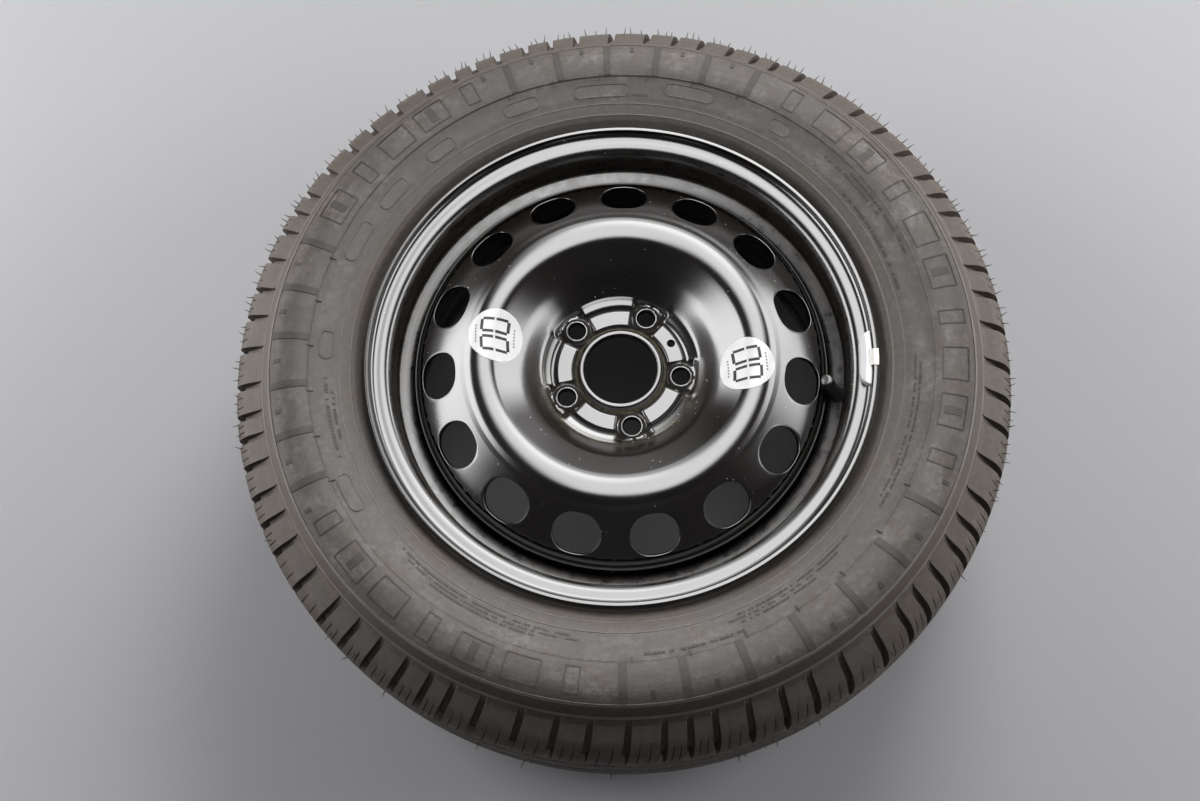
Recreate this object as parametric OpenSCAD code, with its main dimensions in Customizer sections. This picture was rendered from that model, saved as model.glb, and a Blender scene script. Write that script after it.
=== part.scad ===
// Spare wheel of a van: a pressed steel disc wheel with a radial tyre, lying on its inboard side.
// Z is the wheel's axis, the outboard face looks up and the valve lies towards +X.
// The origin is the middle of the face that meets the hub. Sizes are in millimetres.

/* [Rim] */
// Diameter that the tyre's beads sit on
bead_d = 405.6; // [404:0.2:407]
// Width between the two flanges
rim_width = 165.1; // [160:0.1:172]
// How far the hub face stands outboard of the rim's middle plane
wheel_offset = 46; // [43:0.5:48]
// Thickness of the rim's sheet
rim_t = 3; // [2.6:0.1:3.4]
// Height of a flange over the bead seat
flange_h = 17.5; // [16.5:0.1:18.5]
// Radius of a flange's curl, on the tyre's side
curl_r = 9.5; // [9:0.1:10]
// How far a flange's edge stands out past its wall
flange_lip = 12; // [11:0.1:13]
// Radius between bead seat and flange
heel_r = 6.5; // [5.5:0.1:7]
// Slope of the bead seats in degrees
seat_slope = 5; // [4:0.5:6]
// Width of a bead seat
seat_w = 20; // [18:0.5:21]
// Height of the safety humps
hump_h = 1.2; // [0.8:0.1:1.6]
// Distance from the outboard flange wall to the edge of the well
ledge_in = 32.5; // [31:0.5:34]
// Slope of the well's outboard side in degrees
well_slope = 24; // [20:1:28]
// How far the well's floor lies below the ledge, seen from the tyre
well_drop = 15.25; // [14:0.25:17]
// Height at which the well's floor ends on the inboard side
well_end = -42; // [-46:1:-38]
// Height at which the rim's inboard slope ends
slope_end = -96; // [-99:1:-93]

/* [Disc] */
// Thickness of the disc's sheet
disc_t = 4; // [3.6:0.1:4.4]
// Diameter of the hub bore
hub_bore_d = 65.1; // [60:0.1:67]
// Height of the collar around the bore over the hub face
collar_h = 8; // [7:0.5:9]
// Thickness of the collar
collar_t = 3.7; // [3:0.1:4]
// Number of wheel bolts
bolt_n = 5; // [5:1:5]
// Diameter of the bolt circle
bolt_pcd = 108; // [107:0.5:110]
// Diameter of the bolt holes
bolt_hole_d = 14.6; // [14:0.1:15]
// Diameter of the conical bolt seats at their mouth
seat_mouth_d = 17.2; // [16.8:0.1:17.8]
// Height of the bosses around the bolt holes over the pad
boss_h = 1.8; // [1:0.1:2.4]
// Diameter of the foot of a boss
boss_d = 29; // [27:0.5:30]
// Height of the flat plates between the bosses
plate_h = 0.8; // [0.4:0.1:1.2]
// Height of the ridge segments around the pad's edge
ridge_h = 1.5; // [1:0.1:1.8]
// Width of the ridge segments
ridge_w = 5; // [4:0.2:6]
// Distance from the ridge segments to the foot of the bowl
ridge_gap = 3.6; // [3:0.2:4.4]
// Diameter of the small locating hole
locating_d = 7; // [6:0.1:8]
// Radius at which the locating hole sits
locating_r = 51.5; // [50.5:0.5:52]
// Radius where the bowl leaves the pad
bowl_r = 70; // [69:0.5:72]
// How far the crown's crest lies inside the disc's edge
crown_in = 62.5; // [60.5:0.5:64.5]
// Height of the crown's crest over the hub face
crown_h = 47.6; // [46:0.2:49]
// Radius of the crown's rounding
crown_round = 20; // [17:0.5:22]
// Slope of the crown's outer side in degrees
crown_fall = 34.5; // [32:0.5:37]
// Distance from the crown's crest to the crease outside it
crease_out = 14.8; // [14:0.2:16]
// Number of ventilation holes
vent_n = 15; // [10:5:15]
// How far the circle of the ventilation holes lies inside the disc's edge
vent_in = 23.6; // [22.5:0.1:24.5]
// Height of the ventilation holes' middles on the cone
vent_z = 28.2; // [27:0.1:29]
// Slope of the cone that carries the ventilation holes
cone_slope = 30.7; // [29:0.1:32]
// Width of a ventilation hole around the wheel
vent_w = 42; // [36:0.5:44]
// Length of a ventilation hole down the cone
vent_l = 36; // [30:0.5:37]
// Height of the lower edge of the disc's outer flange
skirt_end = -22; // [-25:0.5:-20]
// Number of weld beads between disc and rim
weld_n = 5; // [3:1:6]
// Angle that each weld bead covers
weld_arc = 30; // [20:1:40]
// Leg of a weld bead
weld_leg = 3.6; // [3:0.1:3.8]

/* [Tyre] */
// Outer diameter of the tyre
tyre_d = 686; // [680:1:692]
// Half of the tyre's section width
half_section = 110.5; // [109:0.5:112]
// Where the sidewall is widest, as a share of the height from the flange to the tread
widest_share = 0.51; // [0.48:0.01:0.54]
// Radius of curvature of the tread across the tyre
tread_curve = 600; // [500:10:900]
// Rounding of the tread's shoulders
shoulder_round = 26; // [20:1:28]
// Distance of the shoulder corner from the middle plane
shoulder_y = 75; // [73:0.5:77]
// Distance from the middle plane to the outer ends of the shoulder blocks
block_end_y = 87.5; // [86:0.5:89]
// How far the outer ends of the shoulder blocks lie below the tread
block_end_drop = 29; // [27:0.5:31]
// Thickness of the casing under the tread, with the tread
tread_t = 17; // [16:0.5:19]
// Thickness of the sidewall
sidewall_t = 9; // [7:0.5:11]
// Width of a bead
bead_w = 17; // [15:0.5:18]
// Depth of the tread grooves
groove_depth = 8.5; // [6:0.5:10]
// Width of the grooves that run around the tyre
ring_groove_w = 9; // [6:0.5:10]
// Distance of the two inner ring grooves from the middle plane
inner_groove_y = 16; // [14:0.5:19]
// Distance of the two outer ring grooves from the middle plane
outer_groove_y = 46; // [42:0.5:48]
// Number of blocks around each shoulder
block_n = 74; // [60:1:80]
// Width of the grooves between the shoulder blocks
block_gap = 6.5; // [5:0.5:7.5]
// Slant of the grooves between the shoulder blocks in degrees
block_slant = 10; // [0:1:14]
// How much the lengths of the blocks vary
pitch_spread = 0.3; // [0:0.05:0.35]

/* [Valve] */
// Radius at which the valve stands in the rim's ledge
valve_r = 193; // [192:0.5:194]
// Diameter of the valve hole
valve_hole_d = 11.5; // [11.3:0.1:11.7]
// Diameter of the rubber foot outside the rim
foot_d = 15.2; // [14:0.1:16]
// Diameter of the rubber head inside the tyre
head_d = 19; // [17:0.5:20]
// Height of the rubber above the rim
rubber_h = 25; // [22:0.5:26]
// Diameter of the rubber at its upper end
rubber_top_d = 10.2; // [9.8:0.1:11]
// Height of the stem above the rim
stem_h = 34; // [33:0.5:35]
// Diameter of the stem's threaded end
stem_d = 7.7; // [7.4:0.1:7.9]
// Diameter of the core chamber in the stem
chamber_d = 4.5; // [4.3:0.1:4.8]
// Height of the chamber's lower end above the rim
chamber_z = 9; // [8:0.5:10]
// Diameter of the air passage below the chamber
passage_d = 2.6; // [2:0.1:3]
// Diameter of the core's pin
pin_d = 0.9; // [0.8:0.05:1]
// How far the pin is pushed in when the valve opens
pin_travel = 1.2; // [0.8:0.1:1.5]
// Radial clearance of what slides on the pin
pin_clearance = 0.06; // [0.04:0.01:0.1]
// Outer diameter of the cap
cap_d = 10.6; // [10:0.1:11.5]
// Length of the cap
cap_l = 11; // [10:0.1:11.2]
// Radial clearance between cap and stem
cap_clearance = 0.08; // [0.05:0.01:0.1]

/* [Weight and stickers] */
// Direction of the balance weight around the axis in degrees
weight_at = 5.6; // [0:0.2:12]
// Length of the balance weight
weight_l = 49; // [44:0.5:56]
// Gap between the balance weight and the flange
weight_gap = 0.1; // [0.05:0.05:0.2]
// How far the weight reaches in from the flange's curl
weight_w = 12; // [11:0.1:12.5]
// Corner radius of the weight
weight_round = 11; // [8:0.5:11.5]
// Width of the weight's clip
clip_w = 15; // [12:0.5:18]
// Thickness of the clip
clip_t = 0.9; // [0.7:0.1:1]
// How far the clip reaches down behind the flange's edge
clip_grip = 5; // [4:0.5:6]
// Diameter of the round stickers
sticker_d = 47; // [44:0.5:48]
// Thickness of the stickers
sticker_t = 0.25; // [0.2:0.05:0.4]
// Radius at which the stickers' middles lie
sticker_r = 111; // [110:0.5:113]
// Direction of the left sticker in degrees
left_sticker_at = 177.5; // [172:0.5:184]
// Direction of the right sticker in degrees
right_sticker_at = 2; // [-4:0.5:8]

/* [Hidden] */
$fn = 128;

steel_black = [0.07, 0.07, 0.07];
rubber_grey = [0.2, 0.19, 0.18];
brass = [0.72, 0.6, 0.32];
turn_step = 10;
bead_r = bead_d / 2;
half_rim = rim_width / 2;
seat_r = bead_r - seat_w * tan(seat_slope);
lip_r = bead_r + flange_h;

// A path's vertices are [x, y, rounding]. This replaces each rounded one with points on its arc,
// which reaches no further than halfway to the next vertex.
function unit(v) = v / norm(v);
function turn_of(a, b) = atan2(a[0] * b[1] - a[1] * b[0], a * b);
function spun(v, a) = [v[0] * cos(a) - v[1] * sin(a), v[0] * sin(a) + v[1] * cos(a)];
function flat(p) = [p[0], p[1]];
function corner(a, p, b) =
    let (d1 = unit(flat(p) - flat(a)), d2 = unit(flat(b) - flat(p)), turn = turn_of(d1, d2),
        room = min(norm(flat(p) - flat(a)), norm(flat(b) - flat(p))) / 2,
        lead = min(room, p[2] * tan(abs(turn) / 2)), steps = max(1, ceil(abs(turn) / turn_step)),
        start = flat(p) - d1 * lead,
        middle = start + spun(d1, 90 * sign(turn)) * lead / tan(abs(turn) / 2))
    p[2] == 0 || abs(turn) < 0.01 ? [flat(p)]
    : [for (i = [0:steps]) middle + spun(start - middle, turn * i / steps)];
function rounded(v) = let (last = len(v) - 1)
    [flat(v[0]), for (i = [1:last - 1]) each corner(v[i - 1], v[i], v[i + 1]), flat(v[last])];

// The path moved by t to the right of its travel, corner by corner
function right_of(d) = [d[1], -d[0]];
function beside(p, t) = let (last = len(p) - 1)
    [for (i = [0:last]) let (
        d1 = unit(p[max(i, 1)] - p[max(i, 1) - 1]),
        d2 = unit(p[min(i, last - 1) + 1] - p[min(i, last - 1)]),
        n = unit(right_of(d1) + right_of(d2)))
        p[i] + n * t / (n * right_of(d1))];
function back(p) = [for (i = [len(p) - 1:-1:0]) p[i]];
function lifted(p, z) = [for (q = p) [q[0], q[1] + z]];
function mirrored(p) = [for (q = p) [q[0], -q[1]]];
module sheet(path, t) {
    polygon(concat(path, back(beside(path, t))));
}

// The rim's face on the tyre's side, from the outboard edge to the inboard one, about the middle plane
ledge_r = seat_r - 0.3;
well_out_r = ledge_r - well_drop;
well_r = well_out_r - rim_t;
ledge_y = half_rim - ledge_in;
well_y = ledge_y - (ledge_r - well_out_r) * tan(well_slope);
hump_y = half_rim - seat_w - 4.5;
bead_side = [
    [lip_r, half_rim + flange_lip, 0],
    [lip_r, half_rim, curl_r],
    [bead_r, half_rim, heel_r],
    [seat_r, half_rim - seat_w, 5],
    [seat_r + hump_h, hump_y, 4]
];
rim_back = rounded(concat(bead_side,
    [[ledge_r, ledge_y, 6],
    [well_out_r, well_y, 8],
    [well_out_r, well_end + wheel_offset, 14],
    [ledge_r, slope_end + wheel_offset, 12]],
    [for (i = [len(bead_side) - 1:-1:0]) [bead_side[i][0], -bead_side[i][1], bead_side[i][2]]]));
rim_face = beside(rim_back, rim_t);

// The disc's outboard face, from the hub bore to the lower edge of its skirt
crown_r = well_r - crown_in;
vent_r = well_r - vent_in;
cone_rise = tan(cone_slope);
function cone_z(r) = vent_z - (r - vent_r) * cone_rise;
function meet(p, u, q, v) = let (d = q - p)
    p + u * (d[0] * v[1] - d[1] * v[0]) / (u[0] * v[1] - u[1] * v[0]);
crest = [crown_r, crown_h - crown_round];
bowl_foot = [bowl_r, disc_t];
to_crest = crest - bowl_foot;
bowl_slope = atan2(to_crest[1], to_crest[0]) + asin(crown_round / norm(to_crest));
bowl_touch = crest + crown_round * [-sin(bowl_slope), cos(bowl_slope)];
fall_touch = crest + crown_round * [sin(crown_fall), cos(crown_fall)];
crown_corner = meet(bowl_touch, [cos(bowl_slope), sin(bowl_slope)],
    fall_touch, [-cos(crown_fall), sin(crown_fall)]);
crease_r = crown_r + crease_out;
disc_face = rounded([
    [hub_bore_d / 2 + 0.5, disc_t, 0],
    [bowl_r, disc_t, 14],
    [crown_corner[0], crown_corner[1], crown_round],
    [crease_r, cone_z(crease_r) - 0.8, 5],
    [crease_r + 4, cone_z(crease_r + 4), 8],
    [well_r, cone_z(well_r), 8],
    [well_r, skirt_end, 0]
]);

// The tyre's section about its middle plane: what touches the rim, then sidewall, shoulder and tread
seat_line = tan(seat_slope);
toe_y = half_rim - bead_w;
contact = [for (p = rim_back) if (p[1] > half_rim - heel_r - 0.5 && p[0] < bead_r + flange_h - 2.5) p];
tread_r = tyre_d / 2;
widest_r = lip_r + widest_share * (tread_r - lip_r);
block_end_r = tread_r - block_end_drop;
bulge_y = half_rim + 12;
edge = [block_end_r - 5, block_end_y + 8];
lining_y = half_section - sidewall_t;
function mix(a, b, share) = a + (b - a) * share;
function low_side(a, b, round) = [mix(lip_r, widest_r, a), mix(bulge_y, half_section, b), round];
function high_side(a, b, round) = [mix(widest_r, edge[0], a), mix(half_section, edge[1], b), round];
function tread_at(y) = tread_r - y * y / (2 * tread_curve);
sidewall = rounded([
    [contact[0][0], contact[0][1], 0],
    [lip_r + 1.2, half_rim + 2.8, 2],
    [lip_r + 5.5, half_rim + 6.6, 1.5],
    [lip_r + 9, half_rim + 9.6, 3],
    [lip_r + 12.4, bulge_y - 0.6, 0.4],
    [lip_r + 13, bulge_y + 0.2, 0.5],
    [lip_r + 13.8, bulge_y - 0.1, 0.6],
    low_side(0.45, 0.41, 30),
    low_side(0.725, 0.77, 0.3),
    low_side(0.735, 0.84, 0.3),
    low_side(0.86, 1, 30),
    high_side(0.23, 0, 30),
    high_side(0.655, 0.31, 0.3),
    high_side(0.678, 0.37, 0.3),
    high_side(0.755, 0.43, 1),
    [edge[0], edge[1], 2],
    [block_end_r - 4, block_end_y + 4, 1],
    [block_end_r, block_end_y, 1.5],
    [tread_at(shoulder_y), shoulder_y, shoulder_round],
    [tread_at(outer_groove_y + 8), outer_groove_y + 8, 0]
]);
function ring_groove(y) = let (r = tread_at(y), w = ring_groove_w / 2)
    [[tread_at(y + w), y + w], [r - groove_depth, y + w - 1.2],
    [r - groove_depth, y - w + 1.2], [tread_at(y - w), y - w]];
rib_y = (inner_groove_y + outer_groove_y) / 2;
half_tread = concat(ring_groove(outer_groove_y), [[tread_at(rib_y), rib_y]],
    ring_groove(inner_groove_y));
half_outer = concat([[bead_r - (half_rim - toe_y) * seat_line, toe_y]], back(contact),
    [for (i = [1:len(sidewall) - 1]) sidewall[i]], half_tread);
half_inner = rounded([
    [bead_r - (half_rim - toe_y) * seat_line, toe_y, 0],
    [bead_r + 4, toe_y + 1.5, 3],
    [bead_r + 24, half_rim + 2, 20],
    [mix(bead_r + 24, widest_r, 0.4), mix(half_rim + 2, lining_y, 0.53), 40],
    [widest_r, lining_y + 0.5, 45],
    [mix(widest_r, tread_r - tread_t, 0.6), mix(lining_y, shoulder_y - 3, 0.4), 40],
    [tread_at(shoulder_y - 3) - tread_t, shoulder_y - 3, 30],
    [tread_r - tread_t, 0, 0]
]);

// Angles at which the shoulder grooves lie, with blocks of changing length between them
function block_weight(i) = 1 + pitch_spread * (sin(i * 97) + sin(i * 41 + 20)) / 2;
block_total = [for (i = 0, s = 0; i < block_n; s = s + block_weight(i), i = i + 1)
    s + block_weight(i)][block_n - 1];
groove_at = [for (i = 0, s = 0; i < block_n; s = s + block_weight(i), i = i + 1)
    s * 360 / block_total];

module tyre_section() {
    polygon(lifted(concat(half_outer, back(mirrored(half_outer)), mirrored(half_inner),
        back([for (i = [0:len(half_inner) - 2]) half_inner[i]])), -wheel_offset));
}
module shoulder_groove() {
    floor_r = tread_at(outer_groove_y) - groove_depth + 0.6;
    translate([0, block_gap / 2, 0])
        rotate([90, 0, 0])
            linear_extrude(block_gap)
                polygon([
                    [floor_r, outer_groove_y],
                    [floor_r - 2.4, outer_groove_y + 22],
                    [block_end_r - 1.4, block_end_y - 1.4],
                    [block_end_r + 14, block_end_y + 5],
                    [tread_r + 6, outer_groove_y + 22],
                    [tread_r + 6, outer_groove_y]
                ]);
}
module shoulder_grooves() {
    middle_y = (outer_groove_y + block_end_y) / 2;
    for (a = groove_at)
        rotate([0, 0, a])
            translate([0, 0, middle_y])
                rotate([-block_slant, 0, 0])
                    translate([0, 0, -middle_y])
                        shoulder_groove();
}
module tyre() {
    color(rubber_grey)
        difference() {
            rotate_extrude()
                tyre_section();
            translate([0, 0, -wheel_offset]) {
                shoulder_grooves();
                rotate([0, 0, 180 / block_n])
                    mirror([0, 0, 1])
                        shoulder_grooves();
            }
        }
}

// The valve stands square on the ledge; its own heights start at the ledge's outer face
ledge_touch = meet([ledge_r, ledge_y - wheel_offset] + rim_t * [-sin(well_slope), cos(well_slope)],
    [cos(well_slope), sin(well_slope)], [valve_r, 0], [0, 1]);
module at_valve() {
    translate([ledge_touch[0], 0, ledge_touch[1]])
        rotate([0, -well_slope, 0])
            children();
}
module rim_shell() {
    rotate_extrude()
        polygon(lifted(concat(rim_back, back(rim_face)), -wheel_offset));
}
module rim() {
    color(steel_black)
        difference() {
            rim_shell();
            at_valve()
                translate([0, 0, -rim_t - 4])
                    cylinder(h = rim_t + 8, d = valve_hole_d);
        }
}

module bolt_places() {
    for (i = [0:bolt_n - 1])
        rotate([0, 0, i * 360 / bolt_n])
            translate([bolt_pcd / 2, 0, 0])
                children();
}
plate_r = [bolt_pcd / 2 - 9.8, bolt_pcd / 2 + 1.6];
plate_arc = 180 / bolt_n - (boss_d / 2 + 1) / (bolt_pcd / 2) * 180 / PI;
module raised_arc(inner, outer, h, half_arc) {
    rotate([0, 0, -half_arc])
        rotate_extrude(angle = 2 * half_arc)
            polygon([[inner - h, disc_t - 0.2], [outer + h, disc_t - 0.2],
                [outer, disc_t + h], [inner, disc_t + h]]);
}
module pad_relief() {
    for (i = [0:bolt_n - 1])
        rotate([0, 0, (i + 0.5) * 360 / bolt_n]) {
            raised_arc(plate_r[0], plate_r[1], plate_h, plate_arc);
            raised_arc(bowl_r - ridge_gap - ridge_w, bowl_r - ridge_gap, ridge_h, plate_arc + 1.5);
        }
    bolt_places()
        translate([0, 0, disc_t - 0.2])
            cylinder(h = boss_h + 0.2, d1 = boss_d, d2 = seat_mouth_d + 1.6);
}
module collar() {
    bore_r = hub_bore_d / 2;
    rotate_extrude()
        polygon([[bore_r - 2, 0], [bore_r + 3, 0], [bore_r + collar_t + 3.4, disc_t - 0.1],
            [bore_r + collar_t + 1, disc_t + 0.8], [bore_r + collar_t + 0.2, disc_t + 2.2],
            [bore_r + collar_t, collar_h - 0.6], [bore_r + collar_t - 0.6, collar_h],
            [bore_r - 2, collar_h]]);
}
module vent_cutter() {
    half_slide = (vent_w - vent_l) / 2;
    for (s = [-1, 1])
        translate([0, s * half_slide, 0])
            cylinder(h = 40, d = vent_l, center = true);
    cube([vent_l, 2 * half_slide, 40], center = true);
}
module disc() {
    seat_depth = (seat_mouth_d - bolt_hole_d) / 2 / tan(30);
    boss_top = disc_t + boss_h;
    color(steel_black)
        difference() {
            union() {
                rotate_extrude()
                    sheet(disc_face, disc_t);
                collar();
                pad_relief();
            }
            translate([0, 0, -1])
                cylinder(h = collar_h + 2, d = hub_bore_d);
            bolt_places() {
                translate([0, 0, -1])
                    cylinder(h = boss_top + 2, d = bolt_hole_d);
                translate([0, 0, boss_top - seat_depth])
                    cylinder(h = seat_depth, d1 = bolt_hole_d, d2 = seat_mouth_d);
            }
            rotate([0, 0, 180 / bolt_n])
                translate([locating_r, 0, -1])
                    cylinder(h = disc_t + 3, d = locating_d);
            for (i = [0:vent_n - 1])
                rotate([0, 0, i * 360 / vent_n])
                    translate([vent_r, 0, vent_z])
                        rotate([0, cone_slope, 0])
                            vent_cutter();
        }
}
module disc_welds() {
    color([0.12, 0.11, 0.1])
        for (i = [0:weld_n - 1])
            rotate([0, 0, (i + 0.5) * 360 / weld_n - weld_arc / 2])
                rotate_extrude(angle = weld_arc)
                    polygon([[well_r, skirt_end], [well_r, skirt_end - weld_leg],
                        [well_r - weld_leg * 0.6, skirt_end - weld_leg * 0.62],
                        [well_r - weld_leg, skirt_end]]);
}

chamber_r = chamber_d / 2;
stem_r = stem_d / 2;
sleeve_r = stem_r - 0.35;
cup_h = 2.4;
chamber_spare = 3;
barrel_z = chamber_z + chamber_spare + pin_travel + cup_h;
barrel_top = barrel_z + 8.8;
barrel_r = 1.5;
pin_r = pin_d / 2;
guide_r = pin_r + pin_clearance;
pin_top = stem_h - 0.4;
module valve_rubber() {
    hole_r = valve_hole_d / 2;
    head_r = head_d / 2;
    foot_r = foot_d / 2;
    top_r = rubber_top_d / 2;
    color([0.09, 0.09, 0.09])
        union() {
            difference() {
                at_valve()
                    rotate_extrude() {
                        polygon([
                            [sleeve_r, -rim_t - 5.4], [head_r - 1.5, -rim_t - 5.4],
                            [head_r, -rim_t - 4], [head_r - 0.4, -rim_t - 1],
                            [head_r - 0.9, -rim_t + 0.8], [sleeve_r, -rim_t + 0.8]
                        ]);
                        polygon([
                            [sleeve_r, -0.8], [foot_r - 0.1, -0.8], [foot_r + 0.1, 1.6],
                            [foot_r - 0.5, 3.4], [foot_r - 1.6, 6.5], [top_r + 0.5, 11],
                            [top_r, 16], [top_r - 0.2, rubber_h - 0.8],
                            [top_r - 0.9, rubber_h], [sleeve_r, rubber_h]
                        ]);
                    }
                rim_shell();
            }
            at_valve()
                rotate_extrude()
                    polygon([[sleeve_r, -rim_t - 1], [hole_r, -rim_t - 1], [hole_r, 1], [sleeve_r, 1]]);
        }
}
module valve_stem() {
    color(brass)
        at_valve()
            rotate_extrude()
                polygon([
                    [passage_d / 2, -rim_t - 6.4], [sleeve_r + 0.9, -rim_t - 6.4],
                    [sleeve_r + 0.9, -rim_t - 5.4], [sleeve_r, -rim_t - 5.4], [sleeve_r, rubber_h],
                    [stem_r, rubber_h], [stem_r, stem_h - 0.6], [stem_r - 0.6, stem_h],
                    [chamber_r, stem_h], [chamber_r, barrel_z + 2.6],
                    [chamber_r - 0.25, barrel_z + 1], [chamber_r - 0.25, chamber_z + 0.6],
                    [passage_d / 2, chamber_z]
                ]);
}
module core_plug() {
    color(brass)
        at_valve()
            rotate_extrude()
                polygon([
                    [guide_r, barrel_top], [chamber_r, barrel_top], [chamber_r, stem_h - 3],
                    [1.1, stem_h - 2.4], [guide_r + 0.3, stem_h - 2.4], [guide_r, barrel_top + 2]
                ]);
}
module core_barrel() {
    color(brass)
        at_valve()
            rotate_extrude()
                polygon([
                    [1.1, barrel_z], [barrel_r, barrel_z], [barrel_r, barrel_top],
                    [guide_r, barrel_top], [guide_r, barrel_top - 0.8], [1.1, barrel_top - 0.8],
                    [1.1, barrel_z + 1.4], [guide_r, barrel_z + 1.4], [guide_r, barrel_z + 0.9],
                    [1.1, barrel_z + 0.9]
                ]);
}
module core_seal() {
    color([0.75, 0.2, 0.15])
        at_valve()
            rotate_extrude()
                polygon([
                    [barrel_r, barrel_z + 1], [chamber_r - 0.25, barrel_z + 1],
                    [chamber_r, barrel_z + 2.6], [chamber_r, barrel_z + 4], [barrel_r, barrel_z + 4.6]
                ]);
}
module core_pin() {
    color(brass)
        at_valve()
            rotate_extrude()
                polygon([
                    [0, barrel_z - cup_h], [1.5, barrel_z - cup_h], [1.5, barrel_z - 0.7],
                    [pin_r, barrel_z - 0.7], [pin_r, barrel_z + 6], [0.95, barrel_z + 6],
                    [0.95, barrel_z + 6.5], [pin_r, barrel_z + 6.5], [pin_r, pin_top - 0.3],
                    [pin_r - 0.2, pin_top], [0, pin_top]
                ]);
}
module pin_seal() {
    color([0.1, 0.1, 0.1])
        at_valve()
            rotate_extrude()
                polygon([[pin_r, barrel_z - 0.7], [1.45, barrel_z - 0.7],
                    [1.45, barrel_z], [pin_r, barrel_z]]);
}

// The core's spring sits around the pin, between the barrel's inner step and the pin's collar
spring_r = 0.78;
wire_r = 0.12;
spring_turns = 7;
spring_sides = 6;
spring_steps = 12;
spring_low = barrel_z + 1.4 + wire_r;
spring_high = barrel_z + 6 - wire_r;
function on_spring(i) = let (k = i / (spring_turns * spring_steps), a = 360 * i / spring_steps)
    [spring_r * cos(a), spring_r * sin(a), spring_low + (spring_high - spring_low) * k];
module core_spring() {
    rings = spring_turns * spring_steps;
    points = [for (i = [0:rings]) each
        let (c = on_spring(i), out = [c[0], c[1], 0] / spring_r)
        [for (j = [0:spring_sides - 1]) c + wire_r * (out * cos(j * 360 / spring_sides)
            + [0, 0, 1] * sin(j * 360 / spring_sides))]];
    sides = [for (i = [0:rings - 1]) for (j = [0:spring_sides - 1])
        let (k = (j + 1) % spring_sides, a = i * spring_sides, b = a + spring_sides)
        [a + j, a + k, b + k, b + j]];
    low_end = [for (j = [spring_sides - 1:-1:0]) j];
    high_end = [for (j = [0:spring_sides - 1]) rings * spring_sides + j];
    color([0.6, 0.6, 0.62])
        at_valve()
            polyhedron(points, concat(sides, [low_end], [high_end]), convexity = 10);
}
cap_top = stem_h + 2.4;
cap_low = cap_top - cap_l;
module valve_cap() {
    inner_r = stem_r + cap_clearance;
    color([0.08, 0.08, 0.08])
        at_valve()
            rotate_extrude()
                polygon([
                    [inner_r, cap_low], [cap_d / 2 - 0.3, cap_low], [cap_d / 2, cap_low + 0.6],
                    [cap_d / 2, cap_top - 2.2], [cap_d / 2 - 0.7, cap_top - 0.7],
                    [cap_d / 2 - 2.2, cap_top], [0, cap_top], [0, cap_top - 1.2],
                    [inner_r, cap_top - 1.2]
                ]);
}
module cap_seal() {
    color([0.15, 0.15, 0.15])
        at_valve()
            translate([0, 0, stem_h])
                difference() {
                    cylinder(h = cap_top - 1.2 - stem_h, r = stem_r + cap_clearance);
                    translate([0, 0, -1])
                        cylinder(h = 3, r = 1.4);
                }
}

// The weight lies in the hollow of the outboard flange's curl, and its clip grips the edge
face_z = half_rim + rim_t - wheel_offset;
lip_z = half_rim + flange_lip - wheel_offset;
curl_hollow = [for (p = lifted(beside(rim_back, rim_t + weight_gap), -wheel_offset))
    if (p[1] > face_z - 0.1 && p[0] > lip_r - curl_r - 0.1 && p[1] < lip_z - 1) p];
weight_in_r = lip_r - rim_t - weight_w;
clip_path = rounded([
    [lip_r - 7.6, lip_z - 3.4, 0],
    [lip_r - 3.4, lip_z, 1],
    [lip_r, lip_z, 0],
    [lip_r, lip_z - clip_grip, 0]
]);
module clip_band() {
    half_arc = (clip_w / 2) / lip_r * 180 / PI;
    rotate([0, 0, weight_at - half_arc])
        rotate_extrude(angle = 2 * half_arc)
            sheet(clip_path, -clip_t);
}
module weight_outline() {
    middle_r = weight_in_r + weight_round;
    slide = weight_l / 2 - weight_round;
    rotate([0, 0, weight_at])
        translate([0, 0, face_z - 1]) {
            for (s = [-1, 1])
                translate([middle_r, s * slide, 0])
                    cylinder(h = 14, r = weight_round);
            translate([weight_in_r, -slide, 0])
                cube([30, 2 * slide, 14]);
        }
}
module weight_body() {
    half_arc = weight_l / lip_r * 180 / PI;
    color([0.9, 0.9, 0.9])
        difference() {
            intersection() {
                rotate([0, 0, weight_at - half_arc])
                    rotate_extrude(angle = 2 * half_arc)
                        polygon(concat(curl_hollow,
                            [[weight_in_r, face_z + weight_gap], [weight_in_r + 0.3, face_z + 3.4],
                            [weight_in_r + 2.4, face_z + 6.2], [weight_in_r + 6, face_z + 7.6],
                            [lip_r - rim_t - 1.4, face_z + 7.6]]));
                weight_outline();
            }
            clip_band();
        }
}
module weight_clip() {
    color([0.85, 0.85, 0.85])
        clip_band();
}

module sticker(at) {
    color([0.93, 0.93, 0.93])
        rotate([0, 0, at])
            intersection() {
                rotate([0, 0, -20])
                    rotate_extrude(angle = 40)
                        sheet(disc_face, -sticker_t);
                translate([sticker_r, 0, disc_t + 1])
                    cylinder(h = crown_h, d = sticker_d);
            }
}
module sticker_left() {
    sticker(left_sticker_at);
}
module sticker_right() {
    sticker(right_sticker_at);
}

tyre();
rim();
disc();
disc_welds();
valve_rubber();
valve_stem();
core_plug();
core_barrel();
core_seal();
core_pin();
pin_seal();
core_spring();
valve_cap();
cap_seal();
weight_body();
weight_clip();
sticker_left();
sticker_right();
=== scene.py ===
import math
import random
from functools import partial

import bmesh
import bpy
from mathutils import Matrix, Vector


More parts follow.
